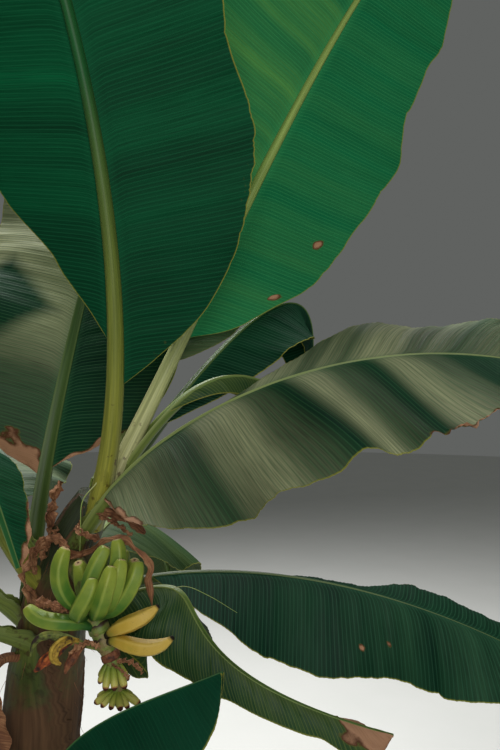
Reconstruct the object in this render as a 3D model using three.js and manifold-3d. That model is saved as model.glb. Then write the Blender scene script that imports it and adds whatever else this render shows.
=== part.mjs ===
// Fruiting dwarf banana plant with one sucker at its foot, in millimetres, +Z up.
// The origin is the centre of the flat cut under the false stem, at ground level.
// +X is the side of the long arching leaf, and the fruit hangs on the -Y side of the stem.
import * as THREE from "three";
import { mergeVertices } from "three/addons/utils/BufferGeometryUtils.js";
import Module from "manifold-3d";

const wasm = await Module();
wasm.setup();

const V = (x, y, z) => new THREE.Vector3(x, y, z);
const UP = V(0, 0, 1);
const radians = THREE.MathUtils.degToRad;
const lerp = THREE.MathUtils.lerp;

// Clearances between a piece and the stem or stalk it grows from, and between two leaves
const GAP = 0.35;
const LEAF_GAP = 0.6;

// Driving dimensions of the false stem: leaf sheaths rolled tightly round each other
const STEM_HEIGHT = 1350;
const STEM_RADIUS = 110;
const STEM_TAPER = 50;
const STEM_FLARE = 38;
const STEM_FLARE_HEIGHT = 70;
const NECK_PINCH = 20;
const STEM_LEAN = 30;
const NECK_BEND = 150;
const BEND_BEARING = -26;
const STEM_SIDES = 16;
const STEM_STATIONS = 13;

// The sucker stands against the flare of the stem, leaning out from under it
const SUCKER_HEIGHT = 620;
const SUCKER_FOOT = [66, -168];
const SUCKER_LEAN = [44, -70];
const SUCKER_RADIUS = 44;
const SUCKER_TAPER = 20;
const SUCKER_FLARE = 14;
const SUCKER_SIDES = 12;

// No leaf is thinner than this share of its length
const BLADE_SHARE = 0.0102;

// Waves of a blade's margin along its length
const WAVES_PER_METRE = 2.6;

// A leaf's midrib passes four points: its root in the stem, a third and two thirds of the way, and
// the tip. "bearing" is the way it arches over, "roll" turns it about its midrib at root and tip.
// Pairs of numbers are its left and right half: "width" out from the midrib, "base" the length over
// which the blade rounds out from the petiole, "lag" how much later that half starts, "fold" how
// far it stands above the level at the midrib and "curl" how much more at the margin. "trim" is how
// much of its width each half keeps, and a list runs evenly from where that half starts to the tip.
const CROWN = [
  {
    name: "leaf_front_upright",
    midrib: [[158, -82, 1290], [232, -262, 1950], [128, -530, 2560], [20, -1080, 2740]],
    bearing: -88, roll: [0, 0], petiole: 350, width: [312, 305], base: [480, 900], lag: [0, 100],
    fold: [4, 12], curl: [-6, 10], wave: 9,
    trim: [
      [0.75, 0.93, 0.96, 1.01, 0.91, 0.97, 1, 1, 1, 1, 1],
      [0.68, 0.88, 1.15, 1.15, 1.12, 1.08, 1.04, 1, 1, 1, 1],
    ],
  },
  {
    name: "leaf_right_upright",
    midrib: [[148, -62, 1290], [395, -5, 1800], [690, 50, 2400], [1010, 110, 2890]],
    bearing: -75, roll: [0, 0], petiole: 470, width: [298, 298], base: [400, 420], lag: [30, 0],
    fold: [10, 6], curl: [-12, -10], wave: 8,
    trim: [[0.9, 0.8, 0.9, 0.93, 1, 1.06, 0.92, 0.93, 1.1, 1.22, 1.7], 1],
  },
  {
    name: "leaf_back_upright",
    midrib: [[-18, 4, 1020], [20, 115, 1540], [85, 360, 2080], [40, 850, 2480]],
    bearing: 86, roll: [0, 0], petiole: 370, width: [300, 300], base: [260, 330], lag: [0, 20],
    fold: [12, 14], curl: [-18, -20], wave: 24,
  },
  {
    name: "leaf_right_arching",
    midrib: [[88, -42, 1190], [520, -275, 1600], [1110, -350, 1655], [1540, -390, 1270]],
    bearing: -12, roll: [22, -28], petiole: 240, width: [280, 285], base: [500, 300], lag: [330, 0],
    fold: [36, -30], curl: [-20, -6], wave: 20,
    trim: [
      [0.1, 0.28, 0.66, 0.78, 1.1, 1.1, 1, 1, 1, 1, 1],
      [0.97, 0.91, 1.07, 1.3, 1.05, 1.05, 0.84, 0.9, 1, 1, 1],
    ],
  },
  {
    name: "leaf_right_narrow",
    midrib: [[136, -58, 1280], [420, 0, 1622], [620, 120, 1590], [800, 250, 1470]],
    bearing: 25, roll: [0, 0], petiole: 330, width: [70, 70], base: [500, 500], lag: [0, 0],
    fold: [-62, -62], curl: [-10, -10], wave: 6,
  },
  {
    name: "leaf_back_right_upright",
    midrib: [[122, -48, 1260], [300, 300, 1810], [500, 680, 2200], [690, 1100, 2280]],
    bearing: 66, roll: [0, 0], petiole: 470, width: [290, 290], base: [350, 350], lag: [0, 0],
    fold: [8, 8], curl: [-20, -20], wave: 18,
  },
  {
    name: "leaf_right_back",
    midrib: [[118, -46, 1250], [400, 110, 1650], [640, 230, 1840], [700, 330, 1600]],
    bearing: 28, roll: [0, 0], petiole: 330, width: [150, 150], base: [500, 500], lag: [0, 0],
    fold: [-55, -55], curl: [20, 20], wave: 10,
  },
  {
    name: "leaf_right_low",
    midrib: [[56, -28, 1080], [605, -60, 1162], [1200, -150, 985], [1650, -230, 600]],
    bearing: -8, roll: [6, -34], petiole: 250, width: [250, 280], base: [420, 320], lag: [330, 0],
    fold: [[10, 10, 8, 30, 30, 30], -24], curl: [-25, -10], wave: 22, size: 0.6,
    trim: [1, [0.6, 0.74, 0.9, 1.17, 0.97, 0.93, 0.8, 0.9, 1, 1, 1]],
  },
  {
    name: "leaf_right_drooping",
    midrib: [[52, -30, 1050], [360, -147, 1156], [451, -207, 1050], [837, -241, 871]],
    bearing: -20, roll: [0, 0], petiole: 110, width: [110, 190], base: [240, 120], lag: [100, 0],
    fold: [-30, -40], curl: [-10, -50], wave: 14, size: 0.6,
    trim: [1, [1, 1.05, 1.05, 0.88, 0.64, 0.46, 0.34, 0.32, 0.34, 0.6, 1]],
  },
  {
    name: "leaf_front_folded",
    midrib: [[60, -40, 1100], [-62, -190, 1380], [-52, -325, 1530], [94, -430, 1277]],
    bearing: -100, roll: [0, 0], petiole: 260, width: [110, 110], base: [260, 260], lag: [0, 0],
    fold: [-72, -72], curl: [-10, -10], wave: 5,
  },
  {
    name: "leaf_left_arching",
    midrib: [[46, -26, 1150], [-500, 10, 1640], [-1080, 40, 1680], [-1520, 60, 1260]],
    bearing: 178, roll: [0, -10], petiole: 330, width: [300, 300], base: [380, 380], lag: [0, 0],
    fold: [-12, -12], curl: [-25, -25], wave: 20,
  },
  {
    name: "leaf_left_low",
    midrib: [[40, -24, 1000], [-420, -200, 1290], [-850, -380, 1120], [-1150, -500, 640]],
    bearing: 204, roll: [0, 6], petiole: 300, width: [270, 270], base: [350, 350], lag: [0, 0],
    fold: [-28, -28], curl: [-22, -22], wave: 20,
  },
  {
    name: "leaf_back_left_arching",
    midrib: [[50, -18, 1090], [-240, 370, 1420], [-540, 810, 1430], [-770, 1150, 1030]],
    bearing: 128, roll: [0, 0], petiole: 330, width: [300, 300], base: [380, 380], lag: [0, 0],
    fold: [-10, -10], curl: [-25, -25], wave: 20,
  },
  {
    name: "leaf_back_low",
    midrib: [[54, -18, 1030], [100, 380, 1200], [170, 830, 1080], [240, 1160, 660]],
    bearing: 82, roll: [0, 0], petiole: 280, width: [260, 260], base: [350, 350], lag: [0, 0],
    fold: [-26, -26], curl: [-22, -22], wave: 20,
  },
  {
    name: "leaf_front_left_low",
    midrib: [[42, -34, 980], [-190, -400, 1150], [-400, -720, 1010], [-540, -930, 560]],
    bearing: -124, roll: [0, 0], petiole: 280, width: [240, 240], base: [330, 330], lag: [0, 0],
    fold: [-34, -34], curl: [-20, -20], wave: 18,
  },
];

// Dead leaves that hang against the stem, shrivelled and folded along the midrib
const DEAD_LEAVES = [
  {
    name: "dead_leaf_front",
    midrib: [[30, -20, 930], [-66, -150, 950], [-74, -172, 700], [-84, -168, 420]],
    bearing: -125, roll: [0, 20], petiole: 170, width: [60, 60], base: [200, 200], lag: [0, 0],
    fold: [-66, -66], curl: [50, 40], wave: 12, size: 0.7,
  },
  {
    name: "dead_leaf_back",
    midrib: [[30, -10, 980], [10, 150, 990], [0, 176, 700], [-10, 180, 380]],
    bearing: 95, roll: [0, -25], petiole: 190, width: [70, 60], base: [200, 200], lag: [0, 0],
    fold: [-60, -66], curl: [40, 50], wave: 12, size: 0.7,
  },
];

const SUCKER_LEAVES = [
  {
    name: "sucker_leaf_front",
    midrib: [[104, -226, 520], [128, -335, 830], [270, -410, 990], [481, -520, 1119]],
    bearing: -30, roll: [0, 0], petiole: 200, width: [110, 165], base: [240, 240], lag: [0, 0],
    fold: [-60, -66], curl: [-20, -14], wave: 5, size: 0.5,
    trim: [1, [1, 1, 1, 1, 1, 1, 1, 1, 1.1, 1.3]],
  },
  {
    name: "sucker_leaf_left",
    midrib: [[98, -222, 500], [20, -310, 760], [-60, -430, 900], [-170, -560, 860]],
    bearing: -130, roll: [0, 0], petiole: 200, width: [95, 95], base: [240, 240], lag: [0, 0],
    fold: [2, 2], curl: [-24, -24], wave: 6, size: 0.55,
  },
  {
    name: "sucker_leaf_right",
    midrib: [[100, -222, 470], [270, -270, 640], [450, -330, 700], [620, -380, 600]],
    bearing: -18, roll: [0, 0], petiole: 190, width: [85, 85], base: [230, 230], lag: [0, 0],
    fold: [-6, -6], curl: [-24, -24], wave: 6, size: 0.55,
  },
];

const LEAF_STATIONS = 15;

// Centreline and radii of the fruit stalk, from inside the neck down to its last flowers
const STALK_LINE = [
  [98, -50, 1180], [124, -126, 1216], [160, -194, 1194], [188, -230, 1140], [216, -240, 1073],
  [238, -245, 1028], [248, -249, 976], [252, -251, 938],
];
const STALK_RADII = [27, 25, 23, 21, 20, 19, 14, 9];
const STALK_SIDES = 8;

// Fruits of each hand: the stretch of stalk that its cushion wraps, as shares of the stalk, the
// thickest radius of a finger, and four points from base to tip of every finger
const HANDS = [
  {
    name: "fruit_hand_upper", color: 0x7f9a3f, cushion: [0.48, 0.59], radius: 18,
    fingers: [
      [[178, -246, 1134], [154, -290, 1176], [138, -300, 1223], [151, -296, 1284]],
      [[184, -250, 1128], [176, -300, 1150], [195, -318, 1184], [210, -312, 1226]],
      [[198, -252, 1136], [194, -282, 1182], [208, -288, 1234], [232, -282, 1283]],
      [[196, -252, 1126], [220, -304, 1158], [236, -318, 1200], [249, -310, 1250]],
      [[204, -250, 1130], [240, -294, 1172], [257, -302, 1215], [266, -294, 1260]],
      [[208, -246, 1126], [254, -282, 1160], [286, -290, 1206], [297, -280, 1252]],
      [[206, -244, 1138], [236, -262, 1190], [250, -262, 1240], [247, -256, 1293]],
      [[182, -222, 1134], [166, -206, 1164], [160, -204, 1200], [156, -214, 1232]],
      [[186, -214, 1130], [186, -176, 1158], [190, -158, 1198], [198, -160, 1236]],
      [[200, -214, 1128], [226, -178, 1156], [240, -162, 1200], [246, -168, 1248]],
      [[208, -222, 1126], [250, -218, 1150], [272, -214, 1196], [280, -222, 1240]],
    ],
  },
  {
    name: "fruit_hand_left", color: 0x7f9a3f, cushion: [0.605, 0.655], radius: 17,
    fingers: [
      [[196, -246, 1100], [150, -278, 1122], [104, -284, 1130], [63, -280, 1158]],
      [[202, -224, 1097], [186, -186, 1098], [158, -154, 1112], [140, -146, 1150]],
    ],
  },
  {
    name: "fruit_hand_yellow", color: 0xd0b040, cushion: [0.67, 0.735], radius: 17,
    fingers: [
      [[226, -250, 1086], [262, -286, 1116], [300, -292, 1134], [341, -286, 1162]],
      [[230, -250, 1072], [268, -290, 1084], [318, -298, 1077], [372, -288, 1098]],
    ],
  },
  {
    name: "fruit_withered", color: 0x9a5a35, cushion: [0.75, 0.79], radius: 9,
    fingers: [
      [[218, -248, 1052], [150, -262, 1082], [96, -268, 1090], [70, -272, 1050]],
      [[158, -262, 1078], [128, -280, 1064], [104, -284, 1044], [80, -280, 1022]],
      [[166, -260, 1078], [138, -290, 1084], [126, -296, 1062], [140, -292, 1042]],
      [[182, -258, 1068], [162, -276, 1052], [150, -284, 1032], [146, -280, 1018]],
    ],
  },
];

// Stunted fruits near the stalk's end, in two whorls round the stalk: where, how many, length,
// radius, how far out they start, downward tilt and turn of the first
const WHORLS = [
  { name: "fruit_whorl_upper", at: 0.8, count: 9, length: 52, radius: 8, out: 12, tilt: -66, turn: 0 },
  { name: "fruit_whorl_lower", at: 0.93, count: 11, length: 48, radius: 8, out: 6, tilt: -34, turn: 22 },
];

// Dry strips: line, half widths (across, thick) and turns from end to end
const STRIPS = [
  {
    name: "dry_strip_over_fruit",
    line: [
      [98, -150, 1250], [132, -174, 1238], [180, -204, 1254], [216, -226, 1284], [246, -236, 1294],
      [278, -242, 1277], [317, -246, 1240], [318, -250, 1200], [322, -256, 1152],
    ],
    half: [17, 5], twist: 240, start: 20,
  },
  {
    name: "dry_sheath_left",
    line: [[58, -64, 1238], [62, -88, 1300], [70, -96, 1352], [90, -100, 1392]],
    half: [22, 5], twist: 70, start: -30,
  },
  {
    name: "dry_sheath_front",
    line: [[50, -84, 1096], [26, -140, 1140], [20, -166, 1190], [44, -164, 1244]],
    half: [20, 5], twist: 120, start: 40,
  },
];

// The false stem's centreline: upright, and bent over near its neck by the weight of the fruit
function stemPoint(t) {
  const reach = STEM_LEAN * t + NECK_BEND * t ** 6;
  const bearing = radians(BEND_BEARING);
  return V(reach * Math.cos(bearing), reach * Math.sin(bearing), STEM_HEIGHT * t);
}

function stemRadius(t) {
  const flare = STEM_FLARE * Math.exp((-t * STEM_HEIGHT) / STEM_FLARE_HEIGHT);
  return STEM_RADIUS - STEM_TAPER * t ** 1.5 + flare - NECK_PINCH * t ** 12;
}

function suckerPoint(t) {
  const [x, y] = [0, 1].map((i) => SUCKER_FOOT[i] + SUCKER_LEAN[i] * t ** 1.4);
  return V(x, y, SUCKER_HEIGHT * t);
}

function suckerRadius(t) {
  return SUCKER_RADIUS - SUCKER_TAPER * t + SUCKER_FLARE * Math.exp(-12 * t);
}

function centre(ring) {
  return ring.reduce((sum, p) => sum.add(p), V(0, 0, 0)).divideScalar(ring.length);
}

// A closed body through rings of equal length, each turning right-handed about the way along it
function loft(rings) {
  const count = rings[0].length;
  const points = rings.flat();
  const faces = [];
  for (let i = 0; i + 1 < rings.length; i++) {
    for (let j = 0; j < count; j++) {
      const a = i * count + j;
      const b = i * count + ((j + 1) % count);
      faces.push(a, b, b + count, a, b + count, a + count);
    }
  }
  const last = (rings.length - 1) * count;
  for (const [start, ring] of [[0, rings[0]], [last, rings.at(-1)]]) {
    const hub = points.push(centre(ring)) - 1;
    for (let j = 0; j < count; j++) {
      const a = start + j;
      const b = start + ((j + 1) % count);
      faces.push(hub, ...(start ? [a, b] : [b, a]));
    }
  }
  return new THREE.BufferGeometry().setFromPoints(points).setIndex(faces);
}

function solidOf(geometry) {
  const merged = mergeVertices(geometry, 1e-3);
  return new wasm.Manifold(new wasm.Mesh({
    numProp: 3,
    vertProperties: merged.attributes.position.array,
    triVerts: new Uint32Array(merged.index.array),
  }));
}

function geometryOf(solid) {
  const mesh = solid.getMesh();
  const geometry = new THREE.BufferGeometry();
  const points = new Float32Array(mesh.vertProperties);
  geometry.setAttribute("position", new THREE.BufferAttribute(points, 3));
  return geometry.setIndex(new THREE.BufferAttribute(new Uint32Array(mesh.triVerts), 1));
}

// What is left of a solid, as its largest piece, once its neighbours are cut away
function cutBy(solid, cutters) {
  const rest = cutters.reduce((left, cutter) => left.subtract(cutter), solid);
  return rest.decompose().reduce((best, piece) => (piece.volume() > best.volume() ? piece : best));
}

// A round body that stands on a level cut and follows a centreline
function standingSolid(pointAt, radiusAt, sides, growth) {
  const rings = [];
  for (let i = 0; i < STEM_STATIONS; i++) {
    const t = (i / (STEM_STATIONS - 1)) ** 1.15;
    const along = t ? pointAt(t + 0.001).sub(pointAt(t - 0.001)).normalize() : UP.clone();
    const side = V(1, 0, 0).addScaledVector(along, -along.x).normalize();
    const front = along.clone().cross(side);
    const ring = [];
    for (let j = 0; j < sides; j++) {
      const turn = (2 * Math.PI * j) / sides;
      const out = side.clone().multiplyScalar(Math.cos(turn)).addScaledVector(front, Math.sin(turn));
      ring.push(pointAt(t).addScaledVector(out, radiusAt(t) + growth));
    }
    rings.push(ring);
  }
  return solidOf(loft(rings));
}

// A body swept along a curve, its section given at each share of the length as [across, over] pairs
function sweep(curve, stations, sectionAt) {
  const frames = curve.computeFrenetFrames(stations - 1);
  const rings = [];
  for (let i = 0; i < stations; i++) {
    const share = i / (stations - 1);
    const at = curve.getPointAt(share);
    rings.push(sectionAt(share).map(([across, over]) => at.clone()
      .addScaledVector(frames.normals[i], across).addScaledVector(frames.binormals[i], over)));
  }
  return solidOf(loft(rings));
}

function polygon(sides, radius) {
  return Array.from({ length: sides }, (_, j) => {
    const turn = (2 * Math.PI * j) / sides;
    return [radius * Math.cos(turn), radius * Math.sin(turn)];
  });
}

function splineThrough(points) {
  return new THREE.CatmullRomCurve3(points.map((p) => V(...p)), false, "centripetal");
}

// A value that stays the same, or runs evenly through a list of values
function along(values, share) {
  if (!Array.isArray(values)) return values;
  const at = share * (values.length - 1);
  const i = Math.min(Math.floor(at), values.length - 2);
  return lerp(values[i], values[i + 1], at - i);
}

// The cubic curve that passes four points at 0, 1/3, 2/3 and 1
function cubicThrough(points) {
  const [q0, q1, q2, q3] = points.map((p) => V(...p));
  const mix = (a, b, c, d) => V(0, 0, 0).addScaledVector(q0, a).addScaledVector(q1, b)
    .addScaledVector(q2, c).addScaledVector(q3, d);
  const curve = new THREE.CubicBezierCurve3(q0, mix(-5 / 6, 3, -1.5, 1 / 3), mix(1 / 3, -1.5, 3, -5 / 6), q3);
  curve.arcLengthDivisions = 400;
  return curve;
}

// How wide half k of a blade is at a distance along the leaf
function halfWidth(leaf, k, distance, length) {
  const start = leaf.petiole + leaf.lag[k];
  const x = (distance - start) / (length - start);
  if (x <= 0 || x >= 1) return 0;
  const rounding = (distance - start) / leaf.base[k];
  const base = rounding < 1 ? (1 - (1 - rounding) ** 2) ** 0.75 : 1;
  const tip = x > 0.5 ? (1 - ((x - 0.5) / 0.5) ** 2.4) ** 0.8 : 1;
  return leaf.width[k] * base * tip * along(leaf.trim?.[k] ?? 1, x);
}

// Upper and under side of half k of a cross-section, out from the midrib: [out, up]
function halfSection(leaf, k, distance, length, ribHalf, growth) {
  const edge = 0.8 * ribHalf;
  const thick = BLADE_SHARE * length;
  const blade = halfWidth(leaf, k, distance, length);
  const wide = Math.max(blade, 0.35 * ribHalf) + growth;
  const fold = radians(along(leaf.fold[k], distance / length));
  const curl = radians(leaf.curl[k]) + 1e-6;
  const sway = Math.sin((2 * Math.PI * WAVES_PER_METRE * distance) / 1000 + 1.7 * k);
  const upper = [];
  const under = [];
  for (const share of [0, 0.5, 1]) {
    const angle = fold + curl * share;
    const swell = leaf.wave * share ** 2 * sway * (blade / leaf.width[k]);
    const out = edge + (wide / curl) * (Math.sin(angle) - Math.sin(fold));
    const up = (wide / curl) * (Math.cos(fold) - Math.cos(angle));
    const lift = (by) => [out - by * Math.sin(angle), up + by * Math.cos(angle)];
    upper.push(lift(swell + growth));
    under.push(lift(swell - thick - growth));
  }
  return { upper, under };
}

// One leaf as a closed body: a gutter-shaped petiole, then a blade on each side of its midrib
function leafSolid(leaf, growth = 0) {
  const curve = cubicThrough(leaf.midrib);
  const length = curve.getLength();
  const thick = BLADE_SHARE * length;
  const size = leaf.size ?? 1;
  const bearing = radians(leaf.bearing);
  const level = V(-Math.sin(bearing), Math.cos(bearing), 0);
  const rings = [];
  for (let i = 0; i < LEAF_STATIONS; i++) {
    const share = i / (LEAF_STATIONS - 1);
    const ahead = curve.getTangentAt(share);
    const roll = radians(lerp(...leaf.roll, share));
    const over = ahead.clone().cross(level).normalize().applyAxisAngle(ahead, roll);
    const left = over.clone().cross(ahead);
    const place = ([out, up]) => curve.getPointAt(share).addScaledVector(left, out).addScaledVector(over, up);
    const mirror = ([out, up]) => place([-out, up]);
    const ribHalf = size * lerp(28, 5, share ** 0.6) + growth;
    const ribDeep = size * lerp(30, 3, share ** 0.7) + growth;
    const [l, r] = [0, 1].map((k) => halfSection(leaf, k, share * length, length, ribHalf, growth));
    rings.push([
      ...l.upper.toReversed().map(place),
      place([0, -0.3 * ribDeep + growth]),
      ...r.upper.map(mirror),
      ...r.under.toReversed().map(mirror),
      mirror([0.5 * ribHalf, -ribDeep - thick]),
      place([0.5 * ribHalf, -ribDeep - thick]),
      ...l.under.map(place),
    ]);
  }
  return solidOf(loft(rings));
}

// One fruit: a stub of stalk, an angular body and a blunt tip
function fingerSolid(points, radius, sides, growth) {
  const girth = sides > 5 ? [0.42, 0.62, 0.97, 1, 0.86, 0.34] : [0.5, 0.9, 1, 0.4];
  const ringAt = (share) => polygon(sides, radius * along(girth, share) + growth);
  return sweep(cubicThrough(points), girth.length, ringAt);
}

const plant = new THREE.Group();

function add(name, solid, color, roughness) {
  const finish = new THREE.MeshStandardMaterial({ color, roughness, metalness: 0 });
  const mesh = new THREE.Mesh(geometryOf(solid), finish);
  mesh.name = name;
  plant.add(mesh);
}

const stemAround = standingSolid(stemPoint, stemRadius, STEM_SIDES, GAP);
add("false_stem", standingSolid(stemPoint, stemRadius, STEM_SIDES, 0), 0x5c5a2e, 0.8);

// Leaves are set from the heart of the crown outwards, each clear of the crownAround inside it
const crownAround = [];
function addLeaf(leaf, cutters, color, roughness) {
  add(leaf.name, cutBy(leafSolid(leaf), cutters), color, roughness);
}
for (const leaf of CROWN) {
  addLeaf(leaf, [stemAround, ...crownAround], 0x0d5a34, 0.45);
  crownAround.push(leafSolid(leaf, LEAF_GAP));
}
for (const leaf of DEAD_LEAVES) {
  addLeaf(leaf, [stemAround, ...crownAround], 0x9a6a45, 0.9);
  crownAround.push(leafSolid(leaf, LEAF_GAP));
}

const sucker = standingSolid(suckerPoint, suckerRadius, SUCKER_SIDES, 0);
const suckerAround = standingSolid(suckerPoint, suckerRadius, SUCKER_SIDES, GAP);
add("sucker_stem", cutBy(sucker, [stemAround]), 0x4f6a30, 0.7);
for (const leaf of SUCKER_LEAVES) {
  addLeaf(leaf, [suckerAround, stemAround, ...crownAround], 0x146b3a, 0.4);
  crownAround.push(leafSolid(leaf, LEAF_GAP));
}

const stalkLine = splineThrough(STALK_LINE);
const stalkRing = (share, growth) => polygon(STALK_SIDES, along(STALK_RADII, share) + growth);
const stalkSolid = (growth) => sweep(stalkLine, 12, (share) => stalkRing(share, growth));
add("fruit_stalk", cutBy(stalkSolid(0), [stemAround, ...crownAround]), 0x8a7a45, 0.7);

// Fruits fused to the cushion that wraps a stretch of the stalk
function bunchSolid({ cushion, radius, fingers, sides = 6 }, growth) {
  const [from, to] = cushion;
  const stretch = splineThrough([0, 0.5, 1].map((u) => stalkLine.getPointAt(lerp(from, to, u)).toArray()));
  const wrap = sweep(stretch, 3, (share) => stalkRing(lerp(from, to, share), 8 + growth));
  return wasm.Manifold.union([wrap, ...fingers.map((points) => fingerSolid(points, radius, sides, growth))]);
}

const fruitCutters = [stalkSolid(GAP), ...crownAround];
function addBunch(bunch) {
  add(bunch.name, cutBy(bunchSolid(bunch, 0), fruitCutters), bunch.color, 0.6);
  fruitCutters.push(bunchSolid(bunch, GAP));
}
HANDS.forEach(addBunch);

for (const { name, at, count, length, radius, out, tilt, turn } of WHORLS) {
  const middle = stalkLine.getPointAt(at);
  const fingers = Array.from({ length: count }, (_, i) => {
    const way = radians(turn + (360 * i) / count);
    const level = V(Math.cos(way), Math.sin(way), 0);
    return [0.1, 0.4, 0.7, 1].map((reach) => middle.clone()
      .addScaledVector(level, out + reach * length * Math.cos(radians(tilt)))
      .addScaledVector(UP, reach * length * Math.sin(radians(tilt)) + 6 * reach ** 3).toArray());
  });
  addBunch({ name, color: 0xb0983c, cushion: [at - 0.025, at + 0.025], radius, fingers, sides: 5 });
}

for (const strip of STRIPS) {
  const [across, thick] = strip.half;
  const solid = sweep(splineThrough(strip.line), 3 * strip.line.length, (share) => {
    const turn = radians(strip.start + strip.twist * share);
    return [[1, 1], [-1, 1], [-1, -1], [1, -1]].map(([u, v]) => [
      u * across * Math.cos(turn) - v * thick * Math.sin(turn),
      u * across * Math.sin(turn) + v * thick * Math.cos(turn),
    ]);
  });
  add(strip.name, cutBy(solid, [stemAround, ...fruitCutters]), 0x9a6a45, 0.9);
}

export default plant;
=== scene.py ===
"""Fruiting banana plant with a sucker at its foot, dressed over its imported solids, in metres."""
import math

import bpy
import numpy as np
from mathutils import Matrix, Vector


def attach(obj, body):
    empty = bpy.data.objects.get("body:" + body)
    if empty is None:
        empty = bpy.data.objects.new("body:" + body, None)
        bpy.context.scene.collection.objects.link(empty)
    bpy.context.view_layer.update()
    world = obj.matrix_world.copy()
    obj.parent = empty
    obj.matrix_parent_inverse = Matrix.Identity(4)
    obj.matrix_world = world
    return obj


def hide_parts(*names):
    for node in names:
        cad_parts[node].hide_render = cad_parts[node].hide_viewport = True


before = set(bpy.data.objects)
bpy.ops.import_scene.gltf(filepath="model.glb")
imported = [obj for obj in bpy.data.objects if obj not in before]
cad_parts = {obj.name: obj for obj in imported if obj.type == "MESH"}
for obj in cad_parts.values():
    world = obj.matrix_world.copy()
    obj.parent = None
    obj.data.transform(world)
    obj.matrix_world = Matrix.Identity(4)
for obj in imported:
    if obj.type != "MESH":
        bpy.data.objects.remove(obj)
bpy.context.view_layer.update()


# The false stem.
# It is no wood: it is the sheaths of old leaves rolled tightly round each other, green and moist
# inside, and brown, fibrous and split at the free edges of the outermost ones.
MM = 0.001
STEM_HEIGHT, STEM_RADIUS, STEM_TAPER = 1350, 110, 50
STEM_FLARE, FLARE_HEIGHT, NECK_PINCH = 38, 70, 20
STEM_LEAN, NECK_BEND, BEND_BEARING = 30, 150, math.radians(-26)
STEM_RINGS, STEM_SIDES = 210, 200
# Free edges round the stem, their turns to a metre of height, and the step at each
SHEATHS_ROUND, SHEATH_SPIRAL, SHEATH_STEP = 4, 1.3, 5.5
# The same for the torn outermost sheaths, which reach up to a height in metres
OLD_SHEATHS_ROUND, OLD_SHEATH_SPIRAL, OLD_SHEATH_STEP, OLD_SHEATHS_TOP = 3, -0.8, 2.4, 0.9
# A lip's width as a share of the way from one free edge to the next, and how far it stands out
LIP_WIDTH, OLD_LIP_WIDTH, LIP_LIFT = 0.018, 0.02, 2.2
# Shallow flutes between the fibre bundles, and dents from what pressed on the stem
FLUTES_ROUND, FLUTE_DEPTH, DENT_DEPTH = 62, 0.5, 2.2


def linear(code):
    """An sRGB hex colour as the linear red, green, blue and alpha that shaders take."""
    parts = [int(code[i:i + 2], 16) / 255 for i in (1, 3, 5)]
    return [c / 12.92 if c <= 0.04045 else ((c + 0.055) / 1.055) ** 2.4 for c in parts] + [1.0]


def feed(tree, socket, value):
    """Gives a socket its value, or links the output that feeds it."""
    if isinstance(value, bpy.types.NodeSocket):
        tree.links.new(value, socket)
    else:
        socket.default_value = value


def add_node(tree, kind, inputs=(), output=0, **settings):
    """Adds a node, with its properties as settings, and gives back one of its outputs."""
    node = tree.nodes.new(kind)
    for name, value in settings.items():
        setattr(node, name, value)
    for key, value in dict(inputs).items():
        feed(tree, node.inputs[key], value)
    return node.outputs[output] if node.outputs else None


def marks_of(tree, *names):
    """The values that the meshes carry at their points."""
    return [add_node(tree, "ShaderNodeAttribute", output="Fac", attribute_name=name) for name in names]


def maths(tree, operation, *values):
    return add_node(tree, "ShaderNodeMath", dict(enumerate(values)), operation=operation)


def fit(tree, value, low=0.0, high=1.0, to_low=0.0, to_high=1.0):
    """Turns a run from low to high into one from to_low to to_high, and stays within it."""
    return add_node(tree, "ShaderNodeMapRange", {"Value": value, "From Min": low, "From Max": high,
                                                 "To Min": to_low, "To Max": to_high})


def blend(tree, share, low, high):
    """One colour turning into another. Each is a hex code or an output."""
    low, high = (linear(colour) if isinstance(colour, str) else colour for colour in (low, high))
    return add_node(tree, "ShaderNodeMix", {0: share, 6: low, 7: high}, 2, data_type="RGBA")


def layered(tree, colour, *layers):
    """A colour with others laid over it, each with the share of it that shows."""
    for share, over in layers:
        colour = blend(tree, share, colour, over)
    return colour


def noise(tree, scale, detail, rough=0.5, warp=0.0):
    """Patches in the round, about as many to the metre as the scale says."""
    place = add_node(tree, "ShaderNodeTexCoord", output="Object")
    return add_node(tree, "ShaderNodeTexNoise", {"Vector": place, "Scale": scale, "Detail": detail,
                                                 "Roughness": rough, "Distortion": warp})


def streaks(tree, across, along, pitch, detail, rough=0.5, scale=1.0):
    """Patches drawn out along the piece: pitch is how many to a unit across and along it."""
    lay = add_node(tree, "ShaderNodeCombineXYZ", {0: across, 1: along})
    lay = add_node(tree, "ShaderNodeMapping", {"Vector": lay, "Scale": (*pitch, 1)})
    return add_node(tree, "ShaderNodeTexNoise", {"Vector": lay, "Scale": scale, "Detail": detail,
                                                 "Roughness": rough}, noise_dimensions="2D")


def ramp(tree, share, *stops):
    """A run of colours, each at its place from 0 to 1."""
    colours = add_node(tree, "ShaderNodeValToRGB", {"Fac": share})
    elements = colours.node.color_ramp.elements
    elements[0].position, elements[1].position = stops[0][0], stops[-1][0]
    elements[0].color, elements[1].color = linear(stops[0][1]), linear(stops[-1][1])
    for place, code in stops[1:-1]:
        elements.new(place).color = linear(code)
    return colours


def new_finish(name):
    finish = bpy.data.materials.new(name)
    finish.use_nodes = True
    return finish, finish.node_tree


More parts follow.
